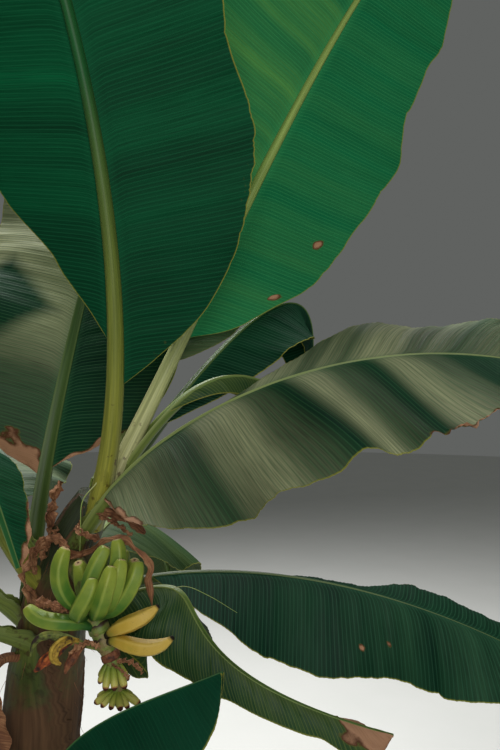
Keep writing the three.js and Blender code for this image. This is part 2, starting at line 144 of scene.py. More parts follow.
def coat(finish, colour, rough, relief=None, strength=0.0, depth=0.0, ior=1.5, shine=0.5):
    """Ends a material: its colour, its roughness, and a fine relief of some depth in metres."""
    tree = finish.node_tree
    sockets = {"Base Color": colour, "Roughness": rough, "IOR": ior, "Specular IOR Level": shine}
    if relief:
        sockets["Normal"] = add_node(tree, "ShaderNodeBump", {"Strength": strength, "Distance": depth,
                                                              "Height": relief})
    for name, value in sockets.items():
        feed(tree, tree.nodes["Principled BSDF"].inputs[name], value)
    return finish


def ripple(x, pitch, seed):
    """An uneven wave, about -1 to 1, whose longest swing is a pitch long."""
    chance = np.random.default_rng(seed)
    total = 0
    for octave in range(4):
        length = pitch / 1.83 ** octave * chance.uniform(0.85, 1.15)
        total = total + np.sin(2 * np.pi * x / length + chance.uniform(0, 6.28)) / 1.5 ** octave
    return total / 2.1


def crumple(x, y, pitch, seed):
    """Uneven dents over a surface, about -1 to 1."""
    chance = np.random.default_rng(seed)
    total = 0
    for wave in range(9):
        way, length = chance.uniform(0, math.pi), pitch * chance.uniform(0.45, 1.5)
        total = total + np.sin(2 * np.pi * (x * math.cos(way) + y * math.sin(way)) / length
                               + chance.uniform(0, 6.28)) * length / pitch
    return total / 3.2


def turns(count):
    """Even directions all round, in radians."""
    return np.linspace(0, 2 * np.pi, count, endpoint=False)


def weave(rows, columns, closed=False, flip=False, start=0):
    """Quads between rows of points, closed on themselves if the rows are rings."""
    i, j = np.meshgrid(np.arange(rows - 1), np.arange(columns if closed else columns - 1), indexing="ij")
    a, b = i * columns + j, i * columns + (j + 1) % columns
    quads = np.stack([a, b, b + columns, a + columns], -1).reshape(-1, 4) + start
    return quads[:, ::-1] if flip else quads


def stand(name, data):
    """An object for a mesh, a lamp or a camera, in the scene."""
    body = bpy.data.objects.new(name, data)
    bpy.context.scene.collection.objects.link(body)
    return body


def settle(body, nodes=()):
    """Fixes a finished piece to the plant, and hides the CAD parts that it stands for."""
    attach(body, "root")
    if nodes:
        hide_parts(*nodes)


class Piece:
    """Gathers the patches of one piece, then turns them into a mesh that stands for its CAD node."""

    def __init__(self):
        self.points, self.quads, self.tris, self.marks, self.count = [], [], [], {}, 0

    def patch(self, points, quads, tris, finish, marks):
        for kind, faces, sides in ((self.quads, quads, 4), (self.tris, tris, 3)):
            faces = np.asarray(faces, int).reshape(-1, sides)
            kind.append(np.c_[faces + self.count, np.full(len(faces), finish)])
        for name, values in marks.items():
            self.marks.setdefault(name, []).append((self.count, values))
        self.points.append(points)
        self.count += len(points)

    def rings(self, rings, finish=0, **marks):
        """A closed body through rings of points, right-handed about the way along them."""
        rows, columns = rings.shape[:2]
        points = np.concatenate([rings.reshape(-1, 3), rings[0].mean(0)[None], rings[-1].mean(0)[None]])
        turn = np.arange(columns)
        ahead, last, hub = (turn + 1) % columns, (rows - 1) * columns, rows * columns
        ends = np.concatenate([np.c_[np.full(columns, hub), ahead, turn],
                               np.c_[np.full(columns, hub + 1), last + turn, last + ahead]])
        for name, values in marks.items():
            full = np.broadcast_to(values, (rows, columns))
            marks[name] = np.concatenate([full.ravel(), [full[0].mean(), full[-1].mean()]])
        self.patch(points, weave(rows, columns, True), ends, finish, marks)

    def sheet(self, top, bottom, mirrored=False, **marks):
        """A thin closed sheet between two grids of points, hemmed all round."""
        rows, columns = top.shape[:2]
        size = rows * columns
        i, j = np.arange(rows - 1), np.arange(columns - 1)
        faces = [weave(rows, columns, flip=not mirrored), weave(rows, columns, flip=mirrored, start=size)]
        for a, b in (((i + 1) * columns - 1, (i + 2) * columns - 1), ((i + 1) * columns, i * columns),
                     (j, j + 1), (size - columns + j + 1, size - columns + j)):
            hem = np.c_[a, a + size, b + size, b]
            faces.append(hem[:, ::-1] if mirrored else hem)
        marks = {name: np.broadcast_to(values, (2, rows, columns)).ravel() for name, values in marks.items()}
        self.patch(np.stack([top, bottom]).reshape(-1, 3), np.concatenate(faces), (), 0, marks)

    def make(self, name, finishes, slot, nodes=(), crease=48):
        points, quads, tris = (np.concatenate(part) for part in (self.points, self.quads, self.tris))
        mesh = bpy.data.meshes.new(name)
        mesh.vertices.add(len(points))
        mesh.vertices.foreach_set("co", points.astype(np.float32).ravel())
        corners = np.concatenate([quads[:, :4].ravel(), tris[:, :3].ravel()])
        starts = np.concatenate([np.arange(len(quads)) * 4, len(quads) * 4 + np.arange(len(tris)) * 3])
        mesh.loops.add(len(corners))
        mesh.loops.foreach_set("vertex_index", corners.astype(np.int32))
        mesh.polygons.add(len(starts))
        mesh.polygons.foreach_set("loop_start", starts.astype(np.int32))
        for finish in finishes:
            mesh.materials.append(finish)
        chosen = np.concatenate([quads[:, 4], tris[:, 3]])
        mesh.polygons.foreach_set("material_index", chosen.astype(np.int32))
        mesh.update(calc_edges=True)
        mesh.polygons.foreach_set("use_smooth", np.ones(len(starts), bool))
        mesh.set_sharp_from_angle(angle=math.radians(crease))
        for mark, runs in self.marks.items():
            values = np.zeros(len(points), np.float32)
            for start, part in runs:
                values[start:start + len(part)] = part
            mesh.attributes.new(mark, "FLOAT", "POINT").data.foreach_set("value", values)
        settle(stand(name, mesh), nodes)
        return mesh


def stem_centre(t):
    reach = STEM_LEAN * t + NECK_BEND * t ** 6
    east, north = math.cos(BEND_BEARING), math.sin(BEND_BEARING)
    return np.stack([reach * east, reach * north, STEM_HEIGHT * t], -1) * MM


def stem_radius(t):
    flare = STEM_FLARE * np.exp(-t * STEM_HEIGHT / FLARE_HEIGHT)
    return (STEM_RADIUS - STEM_TAPER * t ** 1.5 + flare - NECK_PINCH * t ** 12) * MM


def standing(centre_at, radius_at, t, around, relief, **marks):
    """An upright piece round its centreline, with a relief in mm on its radius."""
    along = centre_at(t + 0.001) - centre_at(t - 0.001)
    along[0] = (0, 0, 1)
    along /= np.linalg.norm(along, axis=1)[:, None]
    side = np.array([1.0, 0, 0]) - along * along[:, :1]
    side /= np.linalg.norm(side, axis=1)[:, None]
    front = np.cross(along, side)
    out = side[:, None] * np.cos(around)[..., None] + front[:, None] * np.sin(around)[..., None]
    piece = Piece()
    piece.rings(centre_at(t)[:, None] + out * (radius_at(t)[:, None] + relief * MM)[..., None], **marks)
    return piece


# Living sheath, waxy and ribbed lengthwise, blotched where it ages: satin, never glossy
stem_green, tree = new_finish("banana_sheath_satin_green_ageing_brown")
height, turn_at, age, lip = marks_of(tree, "height", "turn", "age", "lip")
# Fibre bundles are about 3 mm apart round the stem and run its whole height
fibre = streaks(tree, turn_at, height, (32, 2.2), 5, 0.6, scale=1.6)
living = ramp(tree, fibre, (0.3, "#151E0E"), (0.72, "#333F1E"))
dead = ramp(tree, fibre, (0.3, "#20160E"), (0.7, "#5A4430"))
aged = fit(tree, maths(tree, "ADD", age, noise(tree, 14, 6, 0.62, warp=0.6)), 0.82, 1.06)
skin = layered(tree, living, (aged, dead), (lip, "#8A6A4A"))
coat(stem_green, skin, fit(tree, aged, to_low=0.5, to_high=0.85), fibre, 0.55, 0.0012)

t = np.linspace(0, 1, STEM_RINGS) ** 1.06
z, around = t[:, None] * STEM_HEIGHT * MM, turns(STEM_SIDES)[None]
wander = 0.06 * ripple(z, 0.5, 3) + 0.02 * ripple(z, 0.07, 4)
wrap = (SHEATHS_ROUND * around / (2 * np.pi) + SHEATH_SPIRAL * z + wander) % 1
torn_wrap = (OLD_SHEATHS_ROUND * around / (2 * np.pi) + OLD_SHEATH_SPIRAL * z + 0.4
             + 0.07 * ripple(z, 0.6, 5)) % 1
torn = z < OLD_SHEATHS_TOP
open_lip = np.exp(-wrap / LIP_WIDTH) + 0.7 * np.exp(-torn_wrap / OLD_LIP_WIDTH) * torn
relief = (SHEATH_STEP * (0.6 - wrap) * 0.9 + OLD_SHEATH_STEP * (0.5 - torn_wrap) * torn
          + LIP_LIFT * np.clip(open_lip, 0, 1))
relief = relief + FLUTE_DEPTH * np.sin(around * FLUTES_ROUND + 2 * ripple(z, 0.4, 6))
relief = relief + DENT_DEPTH * crumple(around * 0.1, z, 0.22, 7)
fade = np.clip(z / 0.02, 0, 1) * np.clip((STEM_HEIGHT * MM - z) / 0.03, 0, 1)
ageing = (0.32 + 0.25 * crumple(around * 0.1, z, 0.5, 8) + 0.35 * (wrap < 0.12)
          - 0.22 * np.clip((z - 0.8) / 0.4, 0, 1))
stem = standing(stem_centre, stem_radius, t, around, relief * fade, height=z, turn=around,
                age=np.clip(ageing, 0, 1), lip=np.clip(open_lip * fade, 0, 1) * 0.7)
stem_mesh = stem.make("stem_sheaths", [stem_green], "stem", ["false_stem"])


# The crown of leaves.
# Each leaf is a stiff midrib, round below and channelled above, that carries a thin leathery blade
# on each side. Veins leave the midrib side by side, bend towards the tip and end at the margin.
VEIN_PITCH = 9
WAVES_PER_METRE = 2.6
BLADE_AT_RIB, BLADE_AT_MARGIN = 2.0, 0.9
# A vein runs this far up the midrib before it bends out of it, in metres
VEIN_RISE = 0.013
# Rows of points lie by turns above and below the blade's middle, which ribs it between the veins
RIBBING = 0.45
# A midrib's half width and its depth, each at the stem and at the tip. The solid leaves are this
# part of their length thick, and a midrib is deeper by a share of that
RIB_HALF, RIB_DEPTH, SOLID_THICK, THICK_SHARE = (28, 5), (30, 3), 0.0102, 0.35
# The petiole's foot opens into a sheath, this far below where it leaves the stem and above it
SHEATH_BELOW, SHEATH_ABOVE, SHEATH_THICK = 380, 150, 5
# Half the angle that the sheath wraps, in degrees: round the stem at its bottom and where it
# leaves the stem, and round the petiole
HUG_LOW, HUG_HIGH, CUP = 86, 36, 96
# Sheaths lie over each other: the first stands this far out from the stem, and each later one more
FIRST_LAYER, LAYER_STEP = 4, 0.6
# Points across one side of a blade, in leaves that the photo shows and in others, and along a rib
FINE_COLUMNS, PLAIN_COLUMNS, RIB_RINGS, SHEATH_RINGS, SHEATH_POINTS = 16, 13, 150, 84, 29
# Numbers that most leaves share. Where one number stands for two it serves both sides, or both
# ends for roll. Lists run from the stem to the tip. Dry places, tears, swells and places of painted
# shade start with their side, and shares are parts of the blade's length. Lengths are in mm, turns in
# degrees.
# bloom is the share of painted sheen colour on each side, one number or a list from stem to tip
USUAL = dict(roll=0, lag=0, trim=1, bloom=0.4, wave=20, size=1, lean=0.3, ruffle=5, furrow=1.6,
             crumple=0, dry=(), tears=(), swell=(), shade=())
CROWN = [
    dict(node="leaf_front_upright", finish="backlit", seed=11,
         midrib=[[158, -82, 1290], [232, -262, 1950], [128, -530, 2560], [20, -1080, 2740]],
         bearing=-88, petiole=350, width=[312, 305], base=[480, 900], lag=[0, 100],
         fold=[4, 12], curl=[-6, 10], wave=9, lean=0.12, bloom=[[0.1, 0.6, 0.9, 1], [0.1, 0.9, 1, 1]],
         trim=[[0.75, 0.93, 0.96, 1.01, 0.91, 0.97, 1, 1, 1, 1, 1],
               [0.68, 0.88, 1.15, 1.15, 1.12, 1.08, 1.04, 1, 1, 1, 1]],
         dry=[(0, 0.23, 0.97, 90, 22, 0.16), (0, 0.5, 0.93, 120, 26, 0.15), (0, 0.283, 0.84, 8, 5, 0.3),
              (1, 0.62, 0.99, 120, 14, 0.15), (0, 0.03, 0.9, 60, 40, 0.12)]),
    dict(node="leaf_right_upright", finish="translucent", seed=12,
         midrib=[[148, -62, 1290], [395, -5, 1800], [690, 50, 2400], [1010, 110, 2890]],
         bearing=-75, petiole=470, width=298, base=[400, 420], lag=[30, 0],
         fold=[10, 6], curl=[-12, -10], wave=8, lean=0.14, bloom=[[0.3, 0.15, 0.1], [0.7, 0.8, 0.8]],
         trim=[[0.9, 0.8, 0.9, 0.93, 1, 1.06, 0.92, 0.93, 1.1, 1.22, 1.7], 1],
         dry=[(0, 0.25, 0.75, 14, 9, 0.9), (0, 0.12, 0.85, 12, 8, 0.9), (1, 0.3, 1.0, 160, 10, 0.35)]),
    dict(node="leaf_back_upright", finish="waxy", rib="shaded", seed=13,
         midrib=[[-18, 4, 1020], [20, 115, 1540], [85, 360, 2080], [40, 850, 2480]],
         bearing=86, petiole=370, width=300, base=[260, 330], lag=[0, 20],
         fold=[12, 14], curl=[-18, -20], wave=24, lean=0.15, swell=[(0, 260, 14, 40)],
         bloom=[[0.15, 0.1, 0.1, 0.15, 0.5, 0.85, 0.9, 1, 1, 0.9, 0.7, 0.6, 0.6, 0.6, 0.5, 0.5, 0.4, 0.3,
                 0.2], 0], shade=[(0, 0.31, 0.72, 170, 190)],
         dry=[(0, 0.0, 0.95, 70, 120, 1.5), (1, 0.03, 1.0, 45, 26, 0.9)]),
    dict(node="leaf_right_arching", finish="waxy", seed=14,
         midrib=[[88, -42, 1190], [520, -275, 1600], [1110, -350, 1655], [1540, -390, 1270]],
         bearing=-12, roll=[22, -28], petiole=240, width=[280, 285], base=[500, 300], lag=[330, 0],
         fold=[36, -30], curl=[-20, -6], lean=0.4, swell=[(1, 150, 12, 0), (0, 210, 8, 60)],
         trim=[[0.1, 0.28, 0.66, 0.78, 1.1, 1.1, 1, 1, 1, 1, 1],
               [0.97, 0.91, 1.07, 1.3, 1.05, 1.05, 0.84, 0.9, 1, 1, 1]],
         bloom=[[0.9, 1, 1, 0.5, 0.05, 0, 0, 0],
                [0.6, 0.6, 0.5, 0.25, 0.1, 0.8, 1, 0.25, 0, 0.95, 0.15, 0, 0.85, 0.25] + [0] * 14],
         dry=[(1, 0.02, 1.0, 45, 36, 0.9), (1, 0.43, 1.0, 60, 14, 0.8), (0, 0.5, 1.0, 120, 12, 0.4)]),
    dict(node="leaf_right_narrow", finish="olive", seed=15,
         midrib=[[136, -58, 1280], [420, 0, 1622], [620, 120, 1590], [800, 250, 1470]],
         bearing=25, petiole=330, width=70, base=500, fold=-62, curl=-10, wave=6),
    dict(node="leaf_back_right_upright", finish="waxy", seed=16,
         midrib=[[122, -48, 1260], [300, 300, 1810], [500, 680, 2200], [690, 1100, 2280]],
         bearing=66, petiole=470, width=290, base=350, fold=8, curl=-20, wave=18),
    dict(node="leaf_right_back", finish="shaded", seed=17,
         midrib=[[118, -46, 1250], [400, 110, 1650], [640, 230, 1840], [700, 330, 1600]],
         bearing=28, petiole=330, width=150, base=500, fold=-55, curl=20, wave=10, bloom=0),
    dict(node="leaf_right_low", finish="shaded", seed=18, size=0.6,
         midrib=[[56, -28, 1080], [605, -60, 1162], [1200, -150, 985], [1650, -230, 600]],
         bearing=-8, roll=[6, -34], petiole=250, width=[250, 280], base=[420, 320], lag=[330, 0],
         fold=[[10, 10, 8, 30, 30, 30], -24], curl=[-25, -10], wave=22, lean=0.1,
         trim=[1, [0.6, 0.74, 0.9, 1.17, 0.97, 0.93, 0.8, 0.9, 1, 1, 1]],
         bloom=[0.1, [0, 0.3, 0.7, 0.6, 0.4]], dry=[(1, 0.31, 0.7, 6, 5, 0.9), (1, 0.35, 0.66, 5, 4, 0.9)]),
    dict(node="leaf_right_drooping", finish="olive", seed=19, size=0.6,
         midrib=[[52, -30, 1050], [360, -147, 1156], [451, -207, 1050], [837, -241, 871]],
         bearing=-20, petiole=110, width=[110, 190], base=[240, 120], lag=[100, 0],
         fold=[-30, -40], curl=[-10, -50], wave=14, lean=0.7,
         trim=[1, [1, 1.05, 1.05, 0.88, 0.64, 0.46, 0.34, 0.32, 0.34, 0.6, 1]],
         bloom=[0.5, [0.4, 0.1, 0.1, 0.4, 0.9]],
         dry=[(1, 0.93, 0.3, 60, 30, 0.9), (1, 0.98, 0.8, 30, 90, 0.9), (0, 0.9, 0.6, 90, 60, 0.9)]),
    dict(node="leaf_front_folded", finish="backlit", seed=20,
         midrib=[[60, -40, 1100], [-62, -190, 1380], [-52, -325, 1530], [94, -430, 1277]],
         bearing=-100, petiole=260, width=110, base=260, fold=-72, curl=-10, wave=5,
         dry=[(0, 0.9, 1.0, 90, 14, 0.7), (1, 0.9, 1.0, 90, 14, 0.7)]),
    dict(node="leaf_left_arching", finish="waxy", seed=21,
         midrib=[[46, -26, 1150], [-500, 10, 1640], [-1080, 40, 1680], [-1520, 60, 1260]],
         bearing=178, roll=[0, -10], petiole=330, width=300, base=380, fold=-12, curl=-25,
         bloom=[[0, 0.2, 0.4, 0.4]] * 2, swell=[(0, 170, 9, 30), (1, 190, 9, 0)],
         tears=[(0, 0.55, 0.45, 22), (1, 0.4, 0.7, 12), (1, 0.74, 0.35, 26)],
         dry=[(0, 0.9, 1.0, 120, 26, 0.8)]),
    dict(node="leaf_left_low", finish="waxy", seed=22,
         midrib=[[40, -24, 1000], [-420, -200, 1290], [-850, -380, 1120], [-1150, -500, 640]],
         bearing=204, roll=[0, 6], petiole=300, width=270, base=350, fold=-28, curl=-22,
         swell=[(0, 180, 9, 70)], tears=[(0, 0.45, 0.6, 14), (1, 0.62, 0.4, 24)],
         dry=[(1, 0.85, 1.0, 140, 30, 0.8)]),
    dict(node="leaf_back_left_arching", finish="waxy", seed=23,
         midrib=[[50, -18, 1090], [-240, 370, 1420], [-540, 810, 1430], [-770, 1150, 1030]],
         bearing=128, petiole=330, width=300, base=380, fold=-10, curl=-25,
         swell=[(0, 190, 8, 0), (1, 160, 9, 50)],
         tears=[(0, 0.5, 0.5, 20), (1, 0.7, 0.3, 26), (0, 0.8, 0.6, 16)],
         dry=[(0, 0.95, 0.9, 140, 60, 0.8)]),
    dict(node="leaf_back_low", finish="olive", seed=24,
         midrib=[[54, -18, 1030], [100, 380, 1200], [170, 830, 1080], [240, 1160, 660]],
         bearing=82, petiole=280, width=260, base=350, fold=-26, curl=-22,
         tears=[(0, 0.4, 0.5, 20), (1, 0.6, 0.4, 22)],
         dry=[(1, 0.95, 0.9, 160, 70, 0.9), (0, 0.6, 1.0, 120, 20, 0.6)]),
    dict(node="leaf_front_left_low", finish="waxy", seed=25,
         midrib=[[42, -34, 980], [-190, -400, 1150], [-400, -720, 1010], [-540, -930, 560]],
         bearing=-124, petiole=280, width=240, base=330, fold=-34, curl=-20, wave=18,
         tears=[(0, 0.6, 0.6, 14), (1, 0.5, 0.75, 10)], dry=[(0, 0.9, 1.0, 120, 24, 0.8)]),
]


def smooth(x):
    x = np.clip(x, 0, 1)
    return x * x * (3 - 2 * x)


def spun(values, share):
    """A value that stays, or runs smoothly through a list of values."""
    if np.isscalar(values):
        return np.full_like(share, float(values))
    at = np.clip(share, 0, 1) * (len(values) - 1)
    low = np.minimum(np.floor(at).astype(int), len(values) - 2)
    part = smooth(at - low)
    values = np.array(values, float)
    return values[low] * (1 - part) + values[low + 1] * part


def read_off(at, run, line):
    """The points of a line at some distances along it."""
    return np.stack([np.interp(at, run, line[:, i]) for i in range(3)], -1)


def distances(line):
    return np.concatenate([[0], np.cumsum(np.linalg.norm(np.diff(line, axis=0), axis=1))])


def through_four(points):
    """The smooth curve through four points, and the distance along it at each of its steps."""
    q = np.array(points, float) * MM
    first = -5 / 6 * q[0] + 3 * q[1] - 1.5 * q[2] + q[3] / 3
    second = q[0] / 3 - 1.5 * q[1] + 3 * q[2] - 5 / 6 * q[3]
    s = np.linspace(0, 1, 2001)[:, None]
    line = (1 - s) ** 3 * q[0] + 3 * (1 - s) ** 2 * s * first + 3 * (1 - s) * s * s * second + s ** 3 * q[3]
    return line, distances(line)


class Midrib:
    """The curve of a leaf, by distance along it, with its frame and its section."""

    def __init__(self, numbers):
        self.leaf = {**USUAL, **numbers}
        for name in ("roll", "lag", "width", "base", "fold", "curl", "trim", "bloom"):
            if np.isscalar(self.leaf[name]):
                self.leaf[name] = (self.leaf[name],) * 2
        self.line, self.run = through_four(numbers["midrib"])
        ahead = np.gradient(self.line, self.run, axis=0)
        self.ahead = ahead / np.linalg.norm(ahead, axis=1)[:, None]
        self.length, self.size = self.run[-1], self.leaf["size"]

    def frame(self, distance):
        """Place, left and over at each distance, turned by the leaf's roll."""
        at, ahead = (read_off(distance, self.run, line) for line in (self.line, self.ahead))
        bearing = math.radians(self.leaf["bearing"])
        over = np.cross(ahead, [-math.sin(bearing), math.cos(bearing), 0])
        over /= np.linalg.norm(over, axis=-1)[..., None]
        low, high = np.radians(self.leaf["roll"])
        roll = (low + (high - low) * np.asarray(distance) / self.length)[..., None]
        over = over * np.cos(roll) + np.cross(ahead, over) * np.sin(roll)
        return at, np.cross(over, ahead), over

    def half(self, share):
        return self.size * (RIB_HALF[0] + (RIB_HALF[1] - RIB_HALF[0]) * share ** 0.6) * MM

    def deep(self, share):
        deep = RIB_DEPTH[0] + (RIB_DEPTH[1] - RIB_DEPTH[0]) * share ** 0.7
        return self.size * deep * MM + THICK_SHARE * (SOLID_THICK * self.length)

    def start(self, k):
        """Where the blade of side k begins."""
        return (self.leaf["petiole"] + self.leaf["lag"][k]) * MM

    def blade(self, k, distance):
        """Half width of the blade on side k."""
        leaf, start = self.leaf, self.start(k)
        x = np.clip((distance - start) / (self.length - start), 0, 1)
        rounding = np.clip((distance - start) / (leaf["base"][k] * MM), 0, 1)
        base = (1 - (1 - rounding) ** 2) ** 0.75
        tip = (1 - (np.clip(x - 0.5, 0, 1) / 0.5) ** 2.4) ** 0.8
        return leaf["width"][k] * MM * base * tip * spun(leaf["trim"][k], x)

    def spot(self, k, distance, reach, lift):
        """A point of side k: reach goes round the curve from the midrib, lift stands off it."""
        leaf, share = self.leaf, distance / self.length
        wide = np.maximum(self.blade(k, distance), 0.005)
        fold = np.radians(spun(leaf["fold"][k], share))
        curl = np.radians(spun(leaf["curl"][k], share)) + 1e-6
        angle = fold + curl * np.clip(reach / wide, 0, 1.15)
        out = 0.8 * self.half(share) + wide / curl * (np.sin(angle) - np.sin(fold)) - lift * np.sin(angle)
        up = wide / curl * (np.cos(fold) - np.cos(angle)) + lift * np.cos(angle)
        at, left, over = self.frame(distance)
        return at + left * (out * (1 - 2 * k))[..., None] + over * up[..., None]


def blade_patch(piece, rib, k, columns):
    """One side of a blade as thin closed strips between its tears, each row of points along a vein."""
    leaf, start = rib.leaf, rib.start(k)
    run, step = rib.length - start, VEIN_PITCH * MM / 2
    last = int(run / step)
    own_side = {name: [place[1:] for place in leaf[name] if place[0] == k]
                for name in ("dry", "tears", "swell", "shade")}
    tears = sorted((round(share * last), depth, gap) for share, depth, gap in own_side["tears"])
    cuts = [(0, None)] + [(tear[0], tear) for tear in tears] + [(last, None)]
    u = np.linspace(0, 1, columns) ** 0.85
    seed = leaf["seed"] * 10 + k
    for (low, left_tear), (high, right_tear) in zip(cuts, cuts[1:]):
        vein = np.arange(low, high + 1)[:, None]
        root = start + vein * step * np.ones_like(u)
        across = np.broadcast_to(u, root.shape)
        near = np.linspace(0, 1, len(vein))[:, None]
        for tear, closeness in ((left_tear, 1 - near), (right_tear, -near)):
            if tear:
                opening = tear[2] * MM * np.clip((across - tear[1]) / (1 - tear[1]), 0, 1) / 2
                root = root + opening * closeness ** 3
        margin = root + leaf["lean"] * rib.blade(k, root)
        margin = np.maximum.accumulate(margin, axis=0).clip(None, rib.length)
        wide = rib.blade(k, margin)
        reach = across * wide
        distance = root + (margin - root) * across ** 1.15 + VEIN_RISE * (1 - np.exp(-reach / 0.02))
        distance = np.minimum(distance, rib.length)

        def away(share, where, length, width):
            """How far each point is from a place on the blade, along and across, in its sizes."""
            return (np.abs(root - start - share * run) / (length * MM),
                    np.abs(across - where) * wide / (width * MM))

        uneven = crumple(root, reach, 0.055, seed + 2)
        dry = 0.16 * np.clip(ripple(root, 0.23, seed + 3), 0, 1) * across ** 14
        for *place, amount in own_side["dry"]:
            # Large dry places have an uneven edge, small spots are round
            off = np.hypot(*away(*place)) - 0.35 * uneven * (place[2] > 20)
            dry = np.maximum(dry, amount * np.clip(1.6 - 1.1 * off, 0, 1))
        reach = reach * (1 - 0.07 * np.clip(dry, 0, 1) * (1 + ripple(root, 0.05, seed + 5)) * across ** 4)
        # Height off the curve: long waves, a ruffled margin, furrows, swells and dry puckers
        own = wide / (leaf["width"][k] * MM)
        lift = leaf["wave"] * across ** 2 * np.sin(2 * np.pi * WAVES_PER_METRE * distance + 1.7 * k) * own
        lift = lift + leaf["ruffle"] * across ** 3 * ripple(root, 0.17, seed) * own
        lift = lift + leaf["furrow"] * np.sin(np.pi * across ** 0.7) * ripple(root, 0.075, seed + 1)
        for pitch, height, offset in own_side["swell"]:
            turn = 2 * np.pi * (root - start - offset * MM) / (pitch * MM) + 0.5 * ripple(root, 0.5, seed + 7)
            lift = lift + height * np.sin(turn) * across ** 0.8 * np.clip(4 * own, 0, 1)
        lift = lift + RIBBING * (1 - 2 * (vein % 2)) * np.clip(reach / 0.02, 0, 1)
        lift = lift + (leaf["crumple"] + 6 * dry * across) * uneven * np.clip(reach / 0.03, 0, 1)
        thick = BLADE_AT_RIB + (BLADE_AT_MARGIN - BLADE_AT_RIB) * across
        # Painted sheen: uneven by itself, or even where a long list says how it goes
        gleam = leaf["bloom"][k]
        bloom = 0.55 + 0.45 * ripple(root, 0.22, seed + 6)
        if not np.isscalar(gleam) and len(gleam) > 8:
            bloom = 0.85 + 0.15 * bloom
        bloom = bloom * spun(gleam, (root - start) / run)
        # Shade places take the painted sheen off in a diamond: painted shade of a fold
        for place in own_side["shade"]:
            bloom = bloom * np.clip(3 * sum(away(*place)) - 2, 0, 1)
        top, bottom = (rib.spot(k, distance, reach, height * MM) for height in (lift, lift - thick))
        piece.sheet(top, bottom, bool(k), under=np.array([0.0, 1.0])[:, None, None], vein=root - start,
                    edge=(1 - across) * wide, rib=reach, dry=dry, bloom=bloom)


def rib_patch(piece, rib, sides):
    """The midrib and petiole: rounded below, channelled above."""
    distance = np.linspace(0, rib.length, RIB_RINGS)
    share = (distance / rib.length)[:, None]
    half, deep = rib.half(share), rib.deep(share)
    at, left, over = rib.frame(distance)
    turn = turns(sides)[None]
    below = -np.abs(np.sin(turn)) ** 0.85 * deep
    channel = 0.42 * np.clip(1.15 - 1.2 * share, 0.12, 1)
    above = half * (0.16 - channel * np.cos(np.pi / 2 * np.cos(turn)) ** 1.5)
    up = np.where(np.sin(turn) > 1e-9, above, below + 0.0006) + 0.0005 * np.cos(turn * 9) * (half / 0.02)
    rings = at[:, None] + left[:, None] * (np.cos(turn) * half)[..., None] + over[:, None] * up[..., None]
    lips = np.exp(-((np.abs(np.cos(turn)) - 0.9) / 0.12) ** 2) * (np.sin(turn) > -0.2)
    piece.rings(rings[:, ::-1], 1, vein=distance[:, None], turn=turn[:, ::-1] / (2 * np.pi), along=share,
                lip=lips[:, ::-1])


def sheath_patch(piece, rib, layer):
    """The foot of a petiole, which opens into a sheath round the stem and dries along its lips."""
    stem_top, seed = STEM_HEIGHT * MM, rib.leaf["seed"]
    t = np.clip(rib.line[:, 2] / stem_top, 0, 1)
    aside = np.linalg.norm((rib.line - stem_centre(t))[:, :2], axis=1)
    leaves = int(np.argmax((aside > stem_radius(t) - 0.012) | (rib.line[:, 2] > stem_top - 0.006)))
    root, exit_at = rib.run[leaves], rib.line[leaves]
    way = exit_at - stem_centre(t[leaves])
    if np.hypot(*way[:2]) < 0.03:
        way = rib.ahead[leaves]
    run = np.linspace(-SHEATH_BELOW, SHEATH_ABOVE, SHEATH_RINGS)[:, None] * MM
    # Across the sheath, from one lip to the other over its outside and back over its inside
    lay = np.concatenate([np.linspace(-1, 1, SHEATH_POINTS), np.linspace(1, -1, SHEATH_POINTS)])[None]
    inside = np.repeat([0.0, 1.0], SHEATH_POINTS)[None]
    ragged = 1 + 0.09 * ripple(run, 0.05, seed) * np.abs(lay) ** 3
    # Below, it hugs the stem
    t = np.clip(exit_at[2] + run, 0.004, 1.02 * stem_top) / stem_top
    opening = np.radians(HUG_HIGH + (HUG_LOW - HUG_HIGH) * smooth(-run / (0.6 * SHEATH_BELOW * MM)))
    bearing = math.atan2(way[1], way[0]) + lay * ragged * opening
    rising = layer * smooth((run + SHEATH_BELOW * MM) / 0.16) - 2
    girth = stem_radius(np.clip(t, 0, 1)) + (rising - inside * SHEATH_THICK + 0.7 * np.cos(bearing * 34)) * MM
    hugging = stem_centre(t[:, 0])[:, None] + np.stack([np.cos(bearing) * girth, np.sin(bearing) * girth,
                                                        0 * girth], -1)
    # Above, it cups the petiole
    far = root + np.maximum(run, 0)
    at, left, over = rib.frame(far[:, 0])
    sink = np.clip(exit_at[2] + np.minimum(run[:, 0], 0), 0, None) / stem_top
    at = at + stem_centre(sink) - stem_centre(np.full_like(sink, exit_at[2] / stem_top))
    size = (1.12 - 0.17 * smooth(run / (SHEATH_ABOVE * MM))) * (1 - 0.2 * inside)
    bend, share = lay * ragged * math.radians(CUP), far / rib.length
    cupped = (at[:, None] + left[:, None] * (np.sin(bend) * rib.half(share) * size)[..., None]
              - over[:, None] * (np.cos(bend) * rib.deep(share) * size)[..., None])
    mixed = smooth((run + 0.09) / 0.2)[..., None]
    # Age rises down the sheath: the midrib finish browns it with age and darkens it with painted shade
    old = np.clip(0.12 - 1.1 * run / (SHEATH_BELOW * MM), 0.12, 0.95)
    lip = np.exp(-(1 - np.abs(lay)) / 0.12) * smooth((0.5 * SHEATH_ABOVE * MM - run) / 0.1)
    piece.rings(hugging * (1 - mixed) + cupped * mixed, 1, vein=run, turn=lay * 0.3,
                along=np.clip(run / rib.length, 0, 1), lip=0, age=old + lip)


def grow(numbers, finishes, slot, columns, sides=20, layer=None):
    """Builds a leaf: both sides of its blade, its midrib, and its sheath if it lies on the stem."""
    rib, piece = Midrib(numbers), Piece()
    for k in (0, 1):
        blade_patch(piece, rib, k, columns)
    rib_patch(piece, rib, sides)
    if layer:
        sheath_patch(piece, rib, layer)
    piece.make(numbers["node"].replace("leaf", "blade"), finishes, slot, [numbers["node"]])


